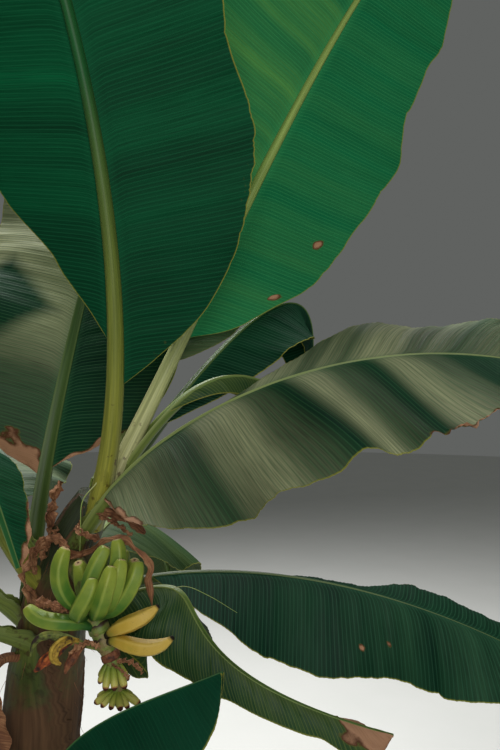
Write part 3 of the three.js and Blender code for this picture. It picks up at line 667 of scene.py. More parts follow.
def blade_finish(name, upper, under, vein, shows, gloss, shine):
    """A leaf blade: green in bands, with pale veins, a gold margin, and dry brown places."""
    finish, tree = new_finish(name)
    vein_at, edge, rib, below, dry, bloom = marks_of(tree, "vein", "edge", "rib", "under", "dry", "bloom")
    # Main veins are 9 mm apart, each a fine raised line about 1.5 mm wide
    beat = maths(tree, "FRACT", maths(tree, "MULTIPLY", vein_at, 1 / (VEIN_PITCH * MM)))
    line = fit(tree, maths(tree, "ABSOLUTE", maths(tree, "SUBTRACT", beat, 0.5)), 0.3, 0.5)
    # Bands of growth 60 to 90 mm wide follow the veins from midrib to margin
    band = add_node(tree, "ShaderNodeTexNoise", {"W": vein_at, "Scale": 13, "Detail": 4, "Roughness": 0.65},
                    noise_dimensions="1D")
    tone = fit(tree, maths(tree, "ADD", band, noise(tree, 5, 4)), 0.75, 1.25)
    # Small veins are under 1 mm apart: drawn 2.5 mm apart so that they show
    thread = streaks(tree, vein_at, rib, (400, 9), 3)
    # Painted sheen: where the bloom mark is high the upper side turns a greyish olive, the lower one pales
    sheen_share = maths(tree, "MULTIPLY", bloom, fit(tree, thread, 0.25, 0.7, 0.45, 1.0))
    sides = [layered(tree, deep, (tone, fresh), (sheen_share, sheen_colour)) for deep, fresh, sheen_colour in (upper, under)]
    green = layered(tree, blend(tree, below, *sides),
                    (fit(tree, thread, 0.3, 0.75, 0.0, 0.22 * shows), vein),
                    (maths(tree, "MULTIPLY", line, shows), vein),
                    (fit(tree, rib, 0.0, 0.02, 0.3, 0.0), vein),
                    (fit(tree, edge, 0.0012, 0.0034, 0.75, 0.0), "#8C8A34"))
    # What dries turns olive, then dark brown at the rim of the dead place, then tan
    parched = maths(tree, "ADD", maths(tree, "MULTIPLY", noise(tree, 42, 6, 0.65), 0.7), dry)
    brown = ramp(tree, parched, (0.55, "#6F6E2C"), (0.7, "#4E2E1A"), (1.0, "#A87E60"))
    spoiled = fit(tree, parched, 0.55, 0.7)
    rough = add_node(tree, "ShaderNodeMix", {0: maths(tree, "MAXIMUM", below, spoiled), 3: 0.66,
                                             2: fit(tree, tone, to_low=gloss, to_high=gloss + 0.12)})
    return coat(finish, blend(tree, spoiled, green, brown), rough, maths(tree, "ADD", thread, line), 0.4,
                0.0008, 1.45, shine)


def rib_finish(name, low, high, lip_colour):
    """A midrib: smooth, juicy and finely streaked, paler towards the stem, browning on its sheath."""
    finish, tree = new_finish(name)
    along, turn_at, vein_at, lip, age = marks_of(tree, "along", "turn", "vein", "lip", "age")
    # Streaks about 3 mm wide round the rib, each a hand long
    streak = streaks(tree, turn_at, vein_at, (34, 5), 4)
    fleck = maths(tree, "ADD", noise(tree, 60, 5), fit(tree, along, 0, 0.22, 0.18, 0.0))
    # Only the sheath carries age: painted shade makes it a deeper green than the petiole, more so further
    # down, and it browns downwards
    browned = fit(tree, maths(tree, "ADD", age, noise(tree, 17, 6, 0.65)), 0.82, 1.15)
    # The dark green layer on age is painted shade on the sheath
    colour = layered(tree, low, (fit(tree, along, 0, 0.5), high),
                     (fit(tree, streak, 0.35, 0.7, 0.4, 0.0), "#28401A"),
                     (maths(tree, "MULTIPLY", lip, 0.5), lip_colour),
                     (fit(tree, fleck, 0.72, 0.8, 0, 0.7), "#4A3018"),
                     (fit(tree, age, 0.05, 0.35, 0, 0.75), "#26331A"),
                     (browned, blend(tree, streak, "#22170E", "#7A5A3E")))
    return coat(finish, colour, fit(tree, browned, to_low=0.45, to_high=0.85), streak, 0.3, 0.0008, 1.45, 0.3)


BLADES = {
    # The full-grown blade seen from below against the sky: a deep, even blue-green with no sheen of its own;
    # its third colours are painted sheen
    "backlit": blade_finish("banana_blade_deep_green_matt_below", ("#01281A", "#04351F", "#2F5A38"),
                            ("#012A17", "#01361F", "#015E36"), "#145E3A", 0.5, 0.5, 0.1),
    # A younger blade, fresher and yellower beside the midrib, painted lighter as a glow of light coming
    # through it
    "translucent": blade_finish("banana_blade_fresh_painted_glow", ("#0C4A28", "#1E5A2E", "#55773C"),
                                ("#01603A", "#036A40", "#5F9844"), "#3C9A5C", 0.4, 0.5, 0.1),
    # Mature upper side: dark and waxed, with soft olive-grey bands of painted sheen
    "waxy": blade_finish("banana_blade_waxy_painted_sheen", ("#03261A", "#0A3A22", "#B6B78C"),
                         ("#02301C", "#063C24", "#2E5A3A"), "#3E6A44", 0.45, 0.5, 0.12),
    # The same blade darkened as painted shade, for leaves lower in the crown: nearly without sheen
    "shaded": blade_finish("banana_blade_painted_shade_dark_green", ("#011C12", "#052E1A", "#33543A"),
                           ("#02301C", "#063C24", "#1E4E32"), "#2C5A40", 0.5, 0.6, 0.05),
    # An ageing blade: olive, with yellow streaks along its veins
    "olive": blade_finish("banana_blade_ageing_olive", ("#06321C", "#153F20", "#5A6C2E"),
                          ("#0E331A", "#204527", "#5A6C2E"), "#66743A", 0.5, 0.45, 0.2),
}
# Midribs are juicier and paler than their blades, and yellow where the petiole begins
RIBS = {
    "backlit": rib_finish("banana_midrib_juicy_green", "#A9A340", "#1C5A2C", "#8E9C58"),
    "translucent": rib_finish("banana_midrib_cream_yellow", "#CFC896", "#9DB45E", "#E2DAAA"),
    "waxy": rib_finish("banana_midrib_pale_olive", "#7D8A3E", "#6C8048", "#A3AC74"),
    # A darker midrib as painted shade
    "shaded": rib_finish("banana_midrib_shaded_green", "#4C5E2A", "#45602F", "#76884E"),
    "olive": rib_finish("banana_midrib_dull_olive", "#838A40", "#5E7A38", "#A9AE6E"),
}
for number, leaf in enumerate(CROWN):
    # The first ten are the leaves that the photo shows
    grow(leaf, [BLADES[leaf["finish"]], RIBS[leaf.get("rib", leaf["finish"])]], "leaf",
         FINE_COLUMNS if number < 10 else PLAIN_COLUMNS, layer=FIRST_LAYER + LAYER_STEP * number)


# The dead leaves.
# The two oldest leaves have withered and hang down the stem by their bent stalks: papery, folded
# along the midrib and crumpled, brown to tan, with the veins standing up as the tissue shrinks.
paper_brown, tree = new_finish("dead_leaf_dry_papery_brown")
# Dried veins stand 4 mm apart once the blade has shrunk
string = streaks(tree, *marks_of(tree, "vein", "rib"), (250, 14), 4, 0.6)
shade = maths(tree, "ADD", string, noise(tree, 24, 6, 0.6))
brown = ramp(tree, fit(tree, shade, 0.6, 1.4), (0.0, "#3B2417"), (0.4, "#7A4D30"), (0.7, "#A3744E"),
             (1.0, "#C79E79"))
coat(paper_brown, brown, 0.82, shade, 0.6, 0.0014)

WITHERED_LEAF = dict(base=200, wave=12, size=0.7, ruffle=9, furrow=5, crumple=7)
for leaf in (
    dict(node="dead_leaf_front",
         midrib=[[30, -20, 930], [-66, -150, 950], [-74, -172, 700], [-84, -168, 420]],
         bearing=-125, roll=[0, 20], petiole=170, width=60, fold=-66, curl=[50, 40], seed=31,
         tears=[(0, 0.35, 0.2, 16), (0, 0.7, 0.1, 22), (1, 0.5, 0.3, 18), (1, 0.82, 0.1, 20)]),
    dict(node="dead_leaf_back",
         midrib=[[30, -10, 980], [10, 150, 990], [0, 176, 700], [-10, 180, 380]],
         bearing=95, roll=[0, -25], petiole=190, width=[70, 60], fold=[-60, -66], curl=[40, 50], seed=32,
         tears=[(0, 0.4, 0.2, 16), (1, 0.3, 0.3, 18), (1, 0.7, 0.1, 22)]),
):
    grow({**WITHERED_LEAF, **leaf}, [paper_brown, paper_brown], "dry_leaf", 14, 14)


# The sucker.
# A young shoot from the same root, with its own small false stem and three first leaves: bright,
# smooth and unspoiled, the veins hardly raised yet.
SUCKER_HEIGHT, SUCKER_RADIUS, SUCKER_TAPER, SUCKER_FLARE = 620, 44, 20, 14
SUCKER_FOOT, SUCKER_LEAN = np.array([66, -168]), np.array([44, -70])
YOUNG_LEAF = dict(base=240, wave=5, size=0.55, ruffle=3, furrow=0.8)
SUCKER_LEAVES = [
    dict(node="sucker_leaf_front",
         midrib=[[104, -226, 520], [128, -335, 830], [270, -410, 990], [481, -520, 1119]],
         bearing=-30, petiole=200, width=[110, 165], fold=[-60, -66], curl=[-20, -14], size=0.5, seed=41,
         trim=[1, [1, 1, 1, 1, 1, 1, 1, 1, 1.1, 1.3]]),
    dict(node="sucker_leaf_left",
         midrib=[[98, -222, 500], [20, -310, 760], [-60, -430, 900], [-170, -560, 860]],
         bearing=-130, petiole=200, width=95, fold=2, curl=-24, seed=42),
    dict(node="sucker_leaf_right",
         midrib=[[100, -222, 470], [270, -270, 640], [450, -330, 700], [620, -380, 600]],
         bearing=-18, petiole=190, width=85, base=230, fold=-6, curl=-24, seed=43),
]


def sucker_centre(t):
    lean = np.clip(t, 0, None)[:, None] ** 1.4
    return np.c_[SUCKER_FOOT + SUCKER_LEAN * lean, SUCKER_HEIGHT * t] * MM


def sucker_radius(t):
    return (SUCKER_RADIUS - SUCKER_TAPER * t + SUCKER_FLARE * np.exp(-12 * t)) * MM


t = np.linspace(0, 1, 120)
z, around = t[:, None] * SUCKER_HEIGHT * MM, turns(72)[None]
wrap = (2 * around / (2 * np.pi) + 1.1 * z + 0.05 * ripple(z, 0.3, 45)) % 1
open_lip = np.exp(-wrap / 0.02)
fade = np.clip(z / 0.02, 0, 1) * np.clip((SUCKER_HEIGHT * MM - z) / 0.02, 0, 1)
relief = 2.6 * (0.5 - wrap) + 1.0 * open_lip + 0.25 * np.sin(around * 30)
relief = relief + 0.8 * crumple(around * 0.05, z, 0.16, 46)
ageing = 0.18 + 0.15 * crumple(around * 0.05, z, 0.3, 47) + 0.2 * (z < 0.12)
sucker = standing(sucker_centre, sucker_radius, t, around, relief * fade, height=z, turn=around,
                  age=np.clip(ageing, 0, 1), lip=open_lip * fade * 0.5)
sucker.make("sucker_sheaths", [stem_green], "young_stem", ["sucker_stem"])

# Young blade: smooth and even, a clear deep green that the light slides over softly
young_blade = blade_finish("banana_blade_young_smooth", ("#002A18", "#013723", "#164E34"),
                           ("#02301B", "#063F25", "#12482C"), "#0A4A2D", 0.3, 0.45, 0.18)
young_rib = rib_finish("banana_midrib_young_green", "#6F9046", "#0B4E2C", "#7FA25A")
for leaf in SUCKER_LEAVES:
    grow({**YOUNG_LEAF, **leaf}, [young_blade, young_rib], "young_leaf", 14, 16)


# The fruit stalk.
# A thick fibrous stalk that comes out of the neck of the stem and hangs over: green, sappy and
# ringed with the scars of the bracts that fell off it as each hand of fruit opened.
STALK_LINE = [[98, -50, 1180], [124, -126, 1216], [160, -194, 1194], [188, -230, 1140], [216, -240, 1073],
              [238, -245, 1028], [248, -249, 976], [252, -251, 938]]
STALK_RADII = [27, 25, 23, 21, 20, 19, 14, 9]
STALK_STEPS, STALK_SIDES = 160, 40


def through_all(points, count):
    """Even steps along the centripetal curve that passes all the points, in metres."""
    p = np.array(points, float) * MM
    p = np.concatenate([[2 * p[0] - p[1]], p, [2 * p[-1] - p[-2]]])
    s = np.linspace(0, 1, 60, endpoint=False)[:, None]
    found = []
    for a, b, c, d in zip(p, p[1:], p[2:], p[3:]):
        before, here, after = (math.sqrt(max(np.linalg.norm(y - x), 1e-9))
                               for x, y in ((a, b), (b, c), (c, d)))
        first = ((b - a) / before - (c - a) / (before + here) + (c - b) / here) * here
        last = ((c - b) / here - (d - b) / (here + after) + (d - c) / after) * here
        found.append((2 * s ** 3 - 3 * s ** 2 + 1) * b + (s ** 3 - 2 * s ** 2 + s) * first
                     + (3 * s ** 2 - 2 * s ** 3) * c + (s ** 3 - s ** 2) * last)
    line = np.concatenate([*found, p[-2:-1]])
    run = distances(line)
    return read_off(np.linspace(0, run[-1], count), run, line)


def swept_frame(line):
    """Directions across and over a line of points, carried along it without twist."""
    along = np.gradient(line, axis=0)
    along /= np.linalg.norm(along, axis=1)[:, None]
    across = np.zeros_like(line)
    side = np.cross(along[0], [0, 0, 1] if abs(along[0][2]) < 0.9 else [1, 0, 0])
    for i, way in enumerate(along):
        side = side - way * (side @ way)
        side = side / np.linalg.norm(side)
        across[i] = side
    return across, np.cross(along, across)


def tube(piece, line, radius, finish=0, **marks):
    """A closed body round a line: the radius is given for each point of each ring."""
    across, over = swept_frame(line)
    turn = turns(radius.shape[1])[None]
    rings = line[:, None] + (across[:, None] * np.cos(turn)[..., None]
                             + over[:, None] * np.sin(turn)[..., None]) * radius[..., None]
    piece.rings(rings, finish, along=np.linspace(0, 1, len(line))[:, None], turn=turn / (2 * np.pi), **marks)


# Sappy green streaks 6 mm wide, worn to cork in places
stalk_green, tree = new_finish("fruit_stalk_sappy_green_scarred")
along, turn_at = marks_of(tree, "along", "turn")
streak = streaks(tree, turn_at, along, (26, 7), 4)
fleck = noise(tree, 36, 5)
# Dark brown where it starts near the neck, fading out unevenly along the first part of it
dark_start = fit(tree, maths(tree, "ADD", along, fleck), 0.7, 0.95, 1.0, 0.0)
colour = layered(tree, "#48602A", (streak, "#8A9A40"), (fit(tree, fleck, 0.52, 0.64, 0, 0.6), "#8A6248"),
                 (dark_start, "#3A2A18"))
coat(stalk_green, colour, 0.6, streak, 0.4, 0.001)

stalk_line = through_all(STALK_LINE, STALK_STEPS)
stalk_share = np.linspace(0, 1, STALK_STEPS)
stalk_girth = np.interp(stalk_share, np.linspace(0, 1, len(STALK_RADII)), STALK_RADII) * MM
turn = turns(STALK_SIDES)[None]
uneven = 1 + 0.05 * crumple(turn * 0.02, stalk_share[:, None] * 0.5, 0.07, 51) + 0.02 * np.cos(turn * 9)
stalk = Piece()
tube(stalk, stalk_line, stalk_girth[:, None] * uneven)
stalk.make("fruit_stalk_sappy", [stalk_green], "stalk", ["fruit_stalk"])


def new_tree(name, inputs):
    """A Geometry Nodes tree with named inputs and their usual values, and a finish for what grows."""
    tree = bpy.data.node_groups.new(name, "GeometryNodeTree")
    kinds = {int: "NodeSocketInt", float: "NodeSocketFloat"}
    tree.interface.new_socket(name="Geometry", in_out="INPUT", socket_type="NodeSocketGeometry")
    for label, value in inputs.items():
        socket = tree.interface.new_socket(name=label, in_out="INPUT", socket_type=kinds[type(value)])
        socket.default_value = value
    tree.interface.new_socket(name="Finish", in_out="INPUT", socket_type="NodeSocketMaterial")
    tree.interface.new_socket(name="Geometry", in_out="OUTPUT", socket_type="NodeSocketGeometry")
    return tree, tree.nodes.new("NodeGroupInput").outputs


def circle(tree, sides, radius):
    return add_node(tree, "GeometryNodeCurvePrimitiveCircle", {"Resolution": sides, "Radius": radius})


def swept(tree, path, profile, **more):
    """A mesh of one curve carried along another."""
    return add_node(tree, "GeometryNodeCurveToMesh", {"Curve": path, "Profile Curve": profile, **more})


def upwards(tree, length, x=0.0, y=0.0):
    """A way straight up, or leaning by x and y."""
    return add_node(tree, "ShaderNodeCombineXYZ", {0: x, 1: y, 2: length})


def arrows(tree, operation, *values):
    """A sum with directions: ADD takes two of them, NORMALIZE one, and SCALE one and a number."""
    places = (0, 3) if operation == "SCALE" else (0, 1)
    return add_node(tree, "ShaderNodeVectorMath", dict(zip(places, values)), operation=operation)


def facing(tree, way):
    """The turn that points a copy's own up along a way."""
    return add_node(tree, "FunctionNodeAlignRotationToVector", {"Vector": way}, axis="Z")


def chance_of(tree, seed, low, high):
    """A random value for each copy: a vector between two vectors, or a number between two numbers."""
    first, kind = (0, "FLOAT_VECTOR") if isinstance(low, tuple) else (2, "FLOAT")
    return add_node(tree, "FunctionNodeRandomValue", {first: low, first + 1: high, "Seed": seed},
                    output=first // 2, data_type=kind)


def copies(tree, points, shape, pose, size):
    return add_node(tree, "GeometryNodeInstanceOnPoints", {"Points": points, "Instance": shape,
                                                           "Rotation": pose, "Scale": size})


def end_tree(tree, geometry, finish):
    """Ends a tree: the instances are made real and given their finish."""
    real = add_node(tree, "GeometryNodeRealizeInstances", {"Geometry": geometry})
    rounded = add_node(tree, "GeometryNodeSetShadeSmooth", {"Geometry": real})
    dressed = add_node(tree, "GeometryNodeSetMaterial", {"Geometry": rounded, "Material": finish})
    add_node(tree, "NodeGroupOutput", {"Geometry": dressed})


def run_tree(name, tree, base, values):
    """Runs a tree on a base mesh and gives back what it makes, as a plain mesh under its own name."""
    carrier = stand(name + "_carrier", base)
    modifier = carrier.modifiers.new("grow", "NODES")
    modifier.node_group = tree
    for item in tree.interface.items_tree:
        if item.in_out == "INPUT" and item.name in values:
            modifier[item.identifier] = values[item.name]
    bpy.context.view_layer.update()
    evaluated = carrier.evaluated_get(bpy.context.evaluated_depsgraph_get())
    mesh = bpy.data.meshes.new_from_object(evaluated)
    carrier.modifiers.remove(modifier)
    bpy.data.objects.remove(carrier)
    mesh.name = name
    return stand(name, mesh)


def wire(name, points):
    """A bare mesh of points joined in a row, for a tree to follow."""
    mesh = bpy.data.meshes.new(name)
    mesh.from_pydata([tuple(p) for p in points], [(i, i + 1) for i in range(len(points) - 1)], [])
    return mesh


# Bract scars: raised rings, smaller towards the end of the stalk, a little askew each
tree, given = new_tree("bract_scars", {"Scars": 9, "Ring radius": 0.02, "Ridge": 0.0018, "Seed": 5})
path = add_node(tree, "GeometryNodeMeshToCurve", {"Mesh": given["Geometry"]})
steps = add_node(tree, "GeometryNodeResampleCurve", {"Curve": path, "Count": given["Scars"]})
scar = swept(tree, circle(tree, 36, given["Ring radius"]), circle(tree, 6, given["Ridge"]))
askew = chance_of(tree, given["Seed"], (-0.16, -0.16, 0.0), (0.16, 0.16, 6.28))
tilt = add_node(tree, "FunctionNodeEulerToRotation", {0: askew})
ahead = facing(tree, add_node(tree, "GeometryNodeInputTangent"))
pose = add_node(tree, "FunctionNodeRotateRotation", {0: ahead, 1: tilt}, rotation_space="LOCAL")
slim = fit(tree, add_node(tree, "GeometryNodeSplineParameter"), to_low=1.0, to_high=0.74)
end_tree(tree, copies(tree, steps, scar, pose, slim), given["Finish"])
scars = run_tree("bract_scars", tree, wire("scar_line", stalk_line[92:134]),
                 {"Scars": 6, "Ring radius": 0.0178, "Ridge": 0.0009, "Seed": 5, "Finish": stalk_green})
settle(scars)


# The hands of fruit.
# Short plump bananas set side by side on a woody cushion round the stalk, curving upwards as they
# fill. Each has five flat faces between ridges, and ends in the blunt corky scar of its flower.
HANDS = [
    dict(node="fruit_hand_upper", slot="green_fruit", cushion=(0.48, 0.59), grow=6, radius=18, fingers=[
        [[178, -246, 1134], [154, -290, 1176], [138, -300, 1223], [151, -296, 1284]],
        [[184, -250, 1128], [176, -300, 1150], [195, -318, 1184], [210, -312, 1226]],
        [[198, -252, 1136], [194, -282, 1182], [208, -288, 1234], [232, -282, 1283]],
        [[196, -252, 1126], [220, -304, 1158], [236, -318, 1200], [249, -310, 1250]],
        [[204, -250, 1130], [240, -294, 1172], [257, -302, 1215], [266, -294, 1260]],
        [[208, -246, 1126], [254, -282, 1160], [286, -290, 1206], [297, -280, 1252]],
        [[206, -244, 1138], [236, -262, 1190], [250, -262, 1240], [247, -256, 1293]],
        [[182, -222, 1134], [166, -206, 1164], [160, -204, 1200], [156, -214, 1232]],
        [[186, -214, 1130], [186, -176, 1158], [190, -158, 1198], [198, -160, 1236]],
        [[200, -214, 1128], [226, -178, 1156], [240, -162, 1200], [246, -168, 1248]],
        [[208, -222, 1126], [250, -218, 1150], [272, -214, 1196], [280, -222, 1240]]]),
    dict(node="fruit_hand_left", slot="green_fruit", cushion=(0.605, 0.655), grow=3, radius=17, fingers=[
        [[196, -246, 1100], [150, -278, 1122], [104, -284, 1130], [63, -280, 1158]],
        [[202, -224, 1097], [186, -186, 1098], [158, -154, 1112], [140, -146, 1150]]]),
    dict(node="fruit_hand_yellow", slot="ripe_fruit", cushion=(0.67, 0.735), grow=2, radius=17, fingers=[
        [[226, -250, 1086], [262, -286, 1116], [300, -292, 1134], [341, -286, 1162]],
        [[230, -250, 1072], [268, -290, 1084], [318, -298, 1077], [372, -288, 1098]]]),
]
# Thickness along a finger: a blunt one keeps its girth almost to its scar, a pointed one runs out
GIRTHS = {
    "blunt": ([0, 0.07, 0.18, 0.3, 0.42, 0.6, 0.78, 0.88, 0.94, 0.965, 0.985, 0.992, 0.996, 1.0],
              [0.5, 0.5, 0.62, 0.84, 0.98, 1.0, 0.95, 0.87, 0.76, 0.66, 0.57, 0.46, 0.26, 0.1]),
    "pointed": ([0, 0.05, 0.12, 0.24, 0.4, 0.55, 0.72, 0.84, 0.91, 0.95, 0.97, 0.985, 0.993, 1.0],
                [0.5, 0.46, 0.5, 0.72, 0.94, 1.0, 0.92, 0.72, 0.5, 0.36, 0.31, 0.3, 0.22, 0.08]),
}


def fruit_finish(name, neck, flesh, ridge_highlight, scar, gloss, corky=0.95, neck_end=0.11):
    """Banana peel: matt-waxed, darker at the neck, lighter along its ridges as painted highlight, corky at
    the scar.
    """
    finish, tree = new_finish(name)
    along, ridge = marks_of(tree, "along", "ridge")
    cloud = noise(tree, 22, 4)
    # The colour turns from the neck up, unevenly; on the green peel the darker neck end is painted shade
    peel = ramp(tree, fit(tree, maths(tree, "ADD", along, cloud), 0.45, 1.45),
                (0.0, neck[1]), (0.4, flesh[0]), (1.0, flesh[1]))
    # Freckles and rubs of 1 to 3 mm
    fleck = fit(tree, noise(tree, 190, 5, 0.7), 0.62, 0.7, 0, 0.65)
    end = maths(tree, "ADD", along, maths(tree, "MULTIPLY", cloud, 0.05))
    cork = fit(tree, end, corky, corky + 0.045)
    # Ridges get painted highlight. The band at the neck is painted shade on the green peel; on the other
    # peels it is their own dark neck.
    colour = layered(tree, peel, (fit(tree, ridge, 0.5, 1.0, 0, 0.4), ridge_highlight), (fleck, "#5B4A22"),
                     (fit(tree, along, neck_end - 0.08, neck_end, 1.0, 0.0), neck[0]), (cork, scar[0]),
                     (fit(tree, along, corky + 0.04, corky + 0.047), scar[1]))
    return coat(finish, colour, fit(tree, cork, to_low=gloss, to_high=0.85), cloud, 0.2, 0.0008, 1.45, 0.35)


PEELS = {
    # Unripe: a waxy yellow-green, darkened to bottle green as painted shade where the fingers meet
    "green_fruit": fruit_finish("banana_peel_unripe_green_waxed", ("#1C3416", "#174A20"),
                                ("#4A7226", "#8F9C3A"), "#A8B04C", ("#B0946A", "#4A2C1C"), 0.45),
    # Turning: dull gold, still green at the neck, with the dead black ends of fruit that ripens early
    "ripe_fruit": fruit_finish("banana_peel_turning_yellow", ("#15130D", "#8C8F32"),
                               ("#BE9E3A", "#CFAE4C"), "#DCC068", ("#17110B", "#0E0B08"), 0.5, 0.91, 0.2),
    # Stunted: pale olive yellow and hard, rusty where the flower broke off
    "stunted_fruit": fruit_finish("banana_peel_stunted_olive_yellow", ("#6B5A2A", "#5F7A2C"),
                                  ("#8F9A3C", "#D2C86C"), "#D8D080", ("#A87848", "#4A2618"), 0.5, 0.86),
}


def finger(piece, points, radius, girths, finish=0, shrivel=0.0, seed=0):
    """One banana: neck, five-faced body and the scar of its flower."""
    stations, girths = GIRTHS[girths]
    share = np.sort(np.concatenate([np.linspace(0.02, 0.9, 26), stations]))[:, None]
    line, run = through_four(points)
    turn = turns(35)[None]
    ridge = (0.5 + 0.5 * np.cos(5 * (turn + 0.3 + 0.4 * seed))) ** 1.6
    faced = np.interp(share, [0, 0.15, 0.3, 0.85, 0.96, 1], [0.2, 0.5, 0.9, 1.0, 0.7, 0.2])
    shape = np.interp(share, stations, girths) * (1 + faced * (0.15 * ridge - 0.05))
    pleats = 0.5 * np.cos(turn * 7 + 9 * share) + crumple(turn * 0.3, share, 0.5, seed)
    shape = shape * (1 + shrivel * pleats)
    tube(piece, read_off(share[:, 0] * run[-1], run, line), radius * MM * shape, finish, ridge=ridge * faced)


def cushion(piece, stretch, grow, finish, seed):
    """The woody ring round the stalk that a hand of fruit sits on."""
    share = np.linspace(*stretch, 22)
    swell = np.sin(np.linspace(0, np.pi, len(share))) ** 0.45
    rough = 1 + 0.06 * crumple(turns(STALK_SIDES)[None] * 0.03, share[:, None] * 0.5, 0.03, seed)
    radius = (np.interp(share, stalk_share, stalk_girth) + grow * MM * swell)[:, None] * rough
    tube(piece, read_off(share, stalk_share, stalk_line), radius, finish, ridge=0)


for number, hand in enumerate(HANDS):
    piece, node, slot = Piece(), hand["node"], hand["slot"]
    for place, points in enumerate(hand["fingers"]):
        finger(piece, points, hand["radius"], "pointed" if slot == "ripe_fruit" else "blunt", seed=place)
    cushion(piece, hand["cushion"], hand["grow"], 1, 60 + number)
    piece.make(node.replace("fruit_hand", "bananas"), [PEELS[slot], stalk_green], slot, [node])


# The withered hand.
# Fruits that never filled: shrunken, wrinkled lengthwise and dried to brown and rusty orange, with
# a little dull yellow left, on what is left of their cushion.
# Name of the colour, its dark and its light, radius, and the line of the fruit
WITHERED = [
    ("olive", "#5E6A2C", "#8A8A3C", 8,
     [[218, -248, 1052], [150, -262, 1082], [96, -268, 1090], [70, -272, 1050]]),
    ("rusty_orange", "#8A3E1C", "#C46A2E", 10,
     [[158, -262, 1078], [128, -280, 1064], [104, -284, 1044], [80, -280, 1022]]),
    ("dull_yellow", "#A8862E", "#C9A942", 10,
     [[166, -260, 1078], [138, -290, 1084], [126, -296, 1062], [140, -292, 1042]]),
    ("brown", "#6A3A20", "#8E5A38", 8,
     [[182, -258, 1068], [162, -276, 1052], [150, -284, 1032], [146, -280, 1018]]),
]


def withered_finish(name, low, high):
    """Dried peel: dull, blotched towards black brown, and wrinkled."""
    finish, tree = new_finish(name)
    # Blotches of 10 to 20 mm
    cloud = noise(tree, 60, 5, 0.6)
    rust = ramp(tree, cloud, (0.36, "#2A1A12"), (0.48, low), (0.66, high))
    return coat(finish, rust, 0.78, cloud, 0.5, 0.001)


piece = Piece()
for number, (_, low, high, radius, points) in enumerate(WITHERED):
    finger(piece, points, radius, "pointed", number, shrivel=0.2, seed=70 + number)
cushion(piece, (0.75, 0.79), 4, 3, 75)
piece.make("bananas_withered", [withered_finish("withered_peel_" + name, low, high)
                                for name, low, high, _, _ in WITHERED], "dry_leaf", ["fruit_withered"])


# The last flowers.
# Beyond the hands the stalk carries whorls of stunted fruits no longer than a finger joint, each
# with the dried stub of its flower: they were never pollinated and stay hard and yellow-green.
tree, given = new_tree("stunted_whorl", {"Fruits": 8, "Length": 0.046, "Thickness": 0.0085, "Droop": -0.9,
                                         "Stalk radius": 0.006, "Turn": 0.0, "Seed": 1})
seat = add_node(tree, "GeometryNodeMeshCircle", {"Vertices": given["Fruits"],
                                                 "Radius": given["Stalk radius"]})
outward = arrows(tree, "NORMALIZE", add_node(tree, "GeometryNodeInputPosition"))
flat = arrows(tree, "SCALE", outward, maths(tree, "COSINE", given["Droop"]))
aim = arrows(tree, "ADD", flat, upwards(tree, maths(tree, "SINE", given["Droop"])))
aim = arrows(tree, "ADD", aim, chance_of(tree, given["Seed"], (-0.12,) * 3, (0.12,) * 3))
core = add_node(tree, "GeometryNodeCurvePrimitiveLine", {"End": upwards(tree, given["Length"])})
core = add_node(tree, "GeometryNodeResampleCurve", {"Curve": core, "Count": 15})
share = add_node(tree, "GeometryNodeSplineParameter")
marked = add_node(tree, "GeometryNodeStoreNamedAttribute",
                  {"Geometry": core, "Name": "along", "Value": share}, data_type="FLOAT", domain="POINT")
girth = add_node(tree, "ShaderNodeFloatCurve", {"Value": share})
plump = girth.node.mapping.curves[0]
for x, y in ((0.12, 0.6), (0.4, 0.95), (0.7, 1.0), (0.88, 0.84), (0.95, 0.6)):
    plump.points.new(x, y)
plump.points[0].location, plump.points[-1].location = (0, 0.5), (1, 0.3)
girth.node.mapping.update()
fruit = swept(tree, marked, circle(tree, 10, given["Thickness"]), **{"Scale": girth, "Fill Caps": True})
ring = copies(tree, seat, fruit, facing(tree, aim), chance_of(tree, given["Seed"], 0.84, 1.08))
turned = add_node(tree, "GeometryNodeTransform", {"Geometry": ring, "Rotation": upwards(tree, given["Turn"])})
end_tree(tree, turned, given["Finish"])
# Place along the stalk, fruits, their length, the stalk's radius there, droop, turn and seed
WHORLS = [("fruit_whorl_upper", 0.8, 9, 52, 12, -66, 0, 81),
          ("fruit_whorl_lower", 0.93, 11, 48, 6, -34, 22, 82)]
for node, at, fruits, length, start, droop, turned_by, seed in WHORLS:
    whorl = run_tree(node.replace("fruit_whorl", "stunted_fruits"), tree,
                     wire(node + "_seat", [(0, 0, 0), (0, 0, 0.01)]), {
        "Fruits": fruits, "Length": length * MM, "Thickness": 8 * MM, "Stalk radius": start * MM,
        "Droop": math.radians(droop), "Turn": math.radians(turned_by), "Seed": seed,
        "Finish": PEELS["stunted_fruit"]})
    whorl.data.transform(Matrix.Translation(read_off(at, stalk_share, stalk_line)))
    settle(whorl, [node])


# The dry strips.
# Bracts and sheath ends that dried where they hung: thin, fibrous, rolled in at their sides and
# twisted like a rag, draped over the fruit and caught at the neck of the stem.
# Node, half width, twist, first turn, how far it rolls in, seed, and the line it follows
STRIPS = [
    ("dry_strip_over_fruit", 17, 240, 20, 1.9, 91,
     [[98, -150, 1250], [132, -174, 1238], [180, -204, 1254], [216, -226, 1284], [246, -236, 1294],
      [278, -242, 1277], [317, -246, 1240], [318, -250, 1200], [322, -256, 1152]]),
    ("dry_sheath_left", 30, 20, -30, 1.3, 92,
     [[58, -64, 1238], [62, -88, 1300], [70, -96, 1352], [90, -100, 1392]]),
    ("dry_sheath_front", 20, 120, 40, 1.0, 93,
     [[50, -84, 1096], [26, -140, 1140], [20, -166, 1190], [44, -164, 1244]]),
]
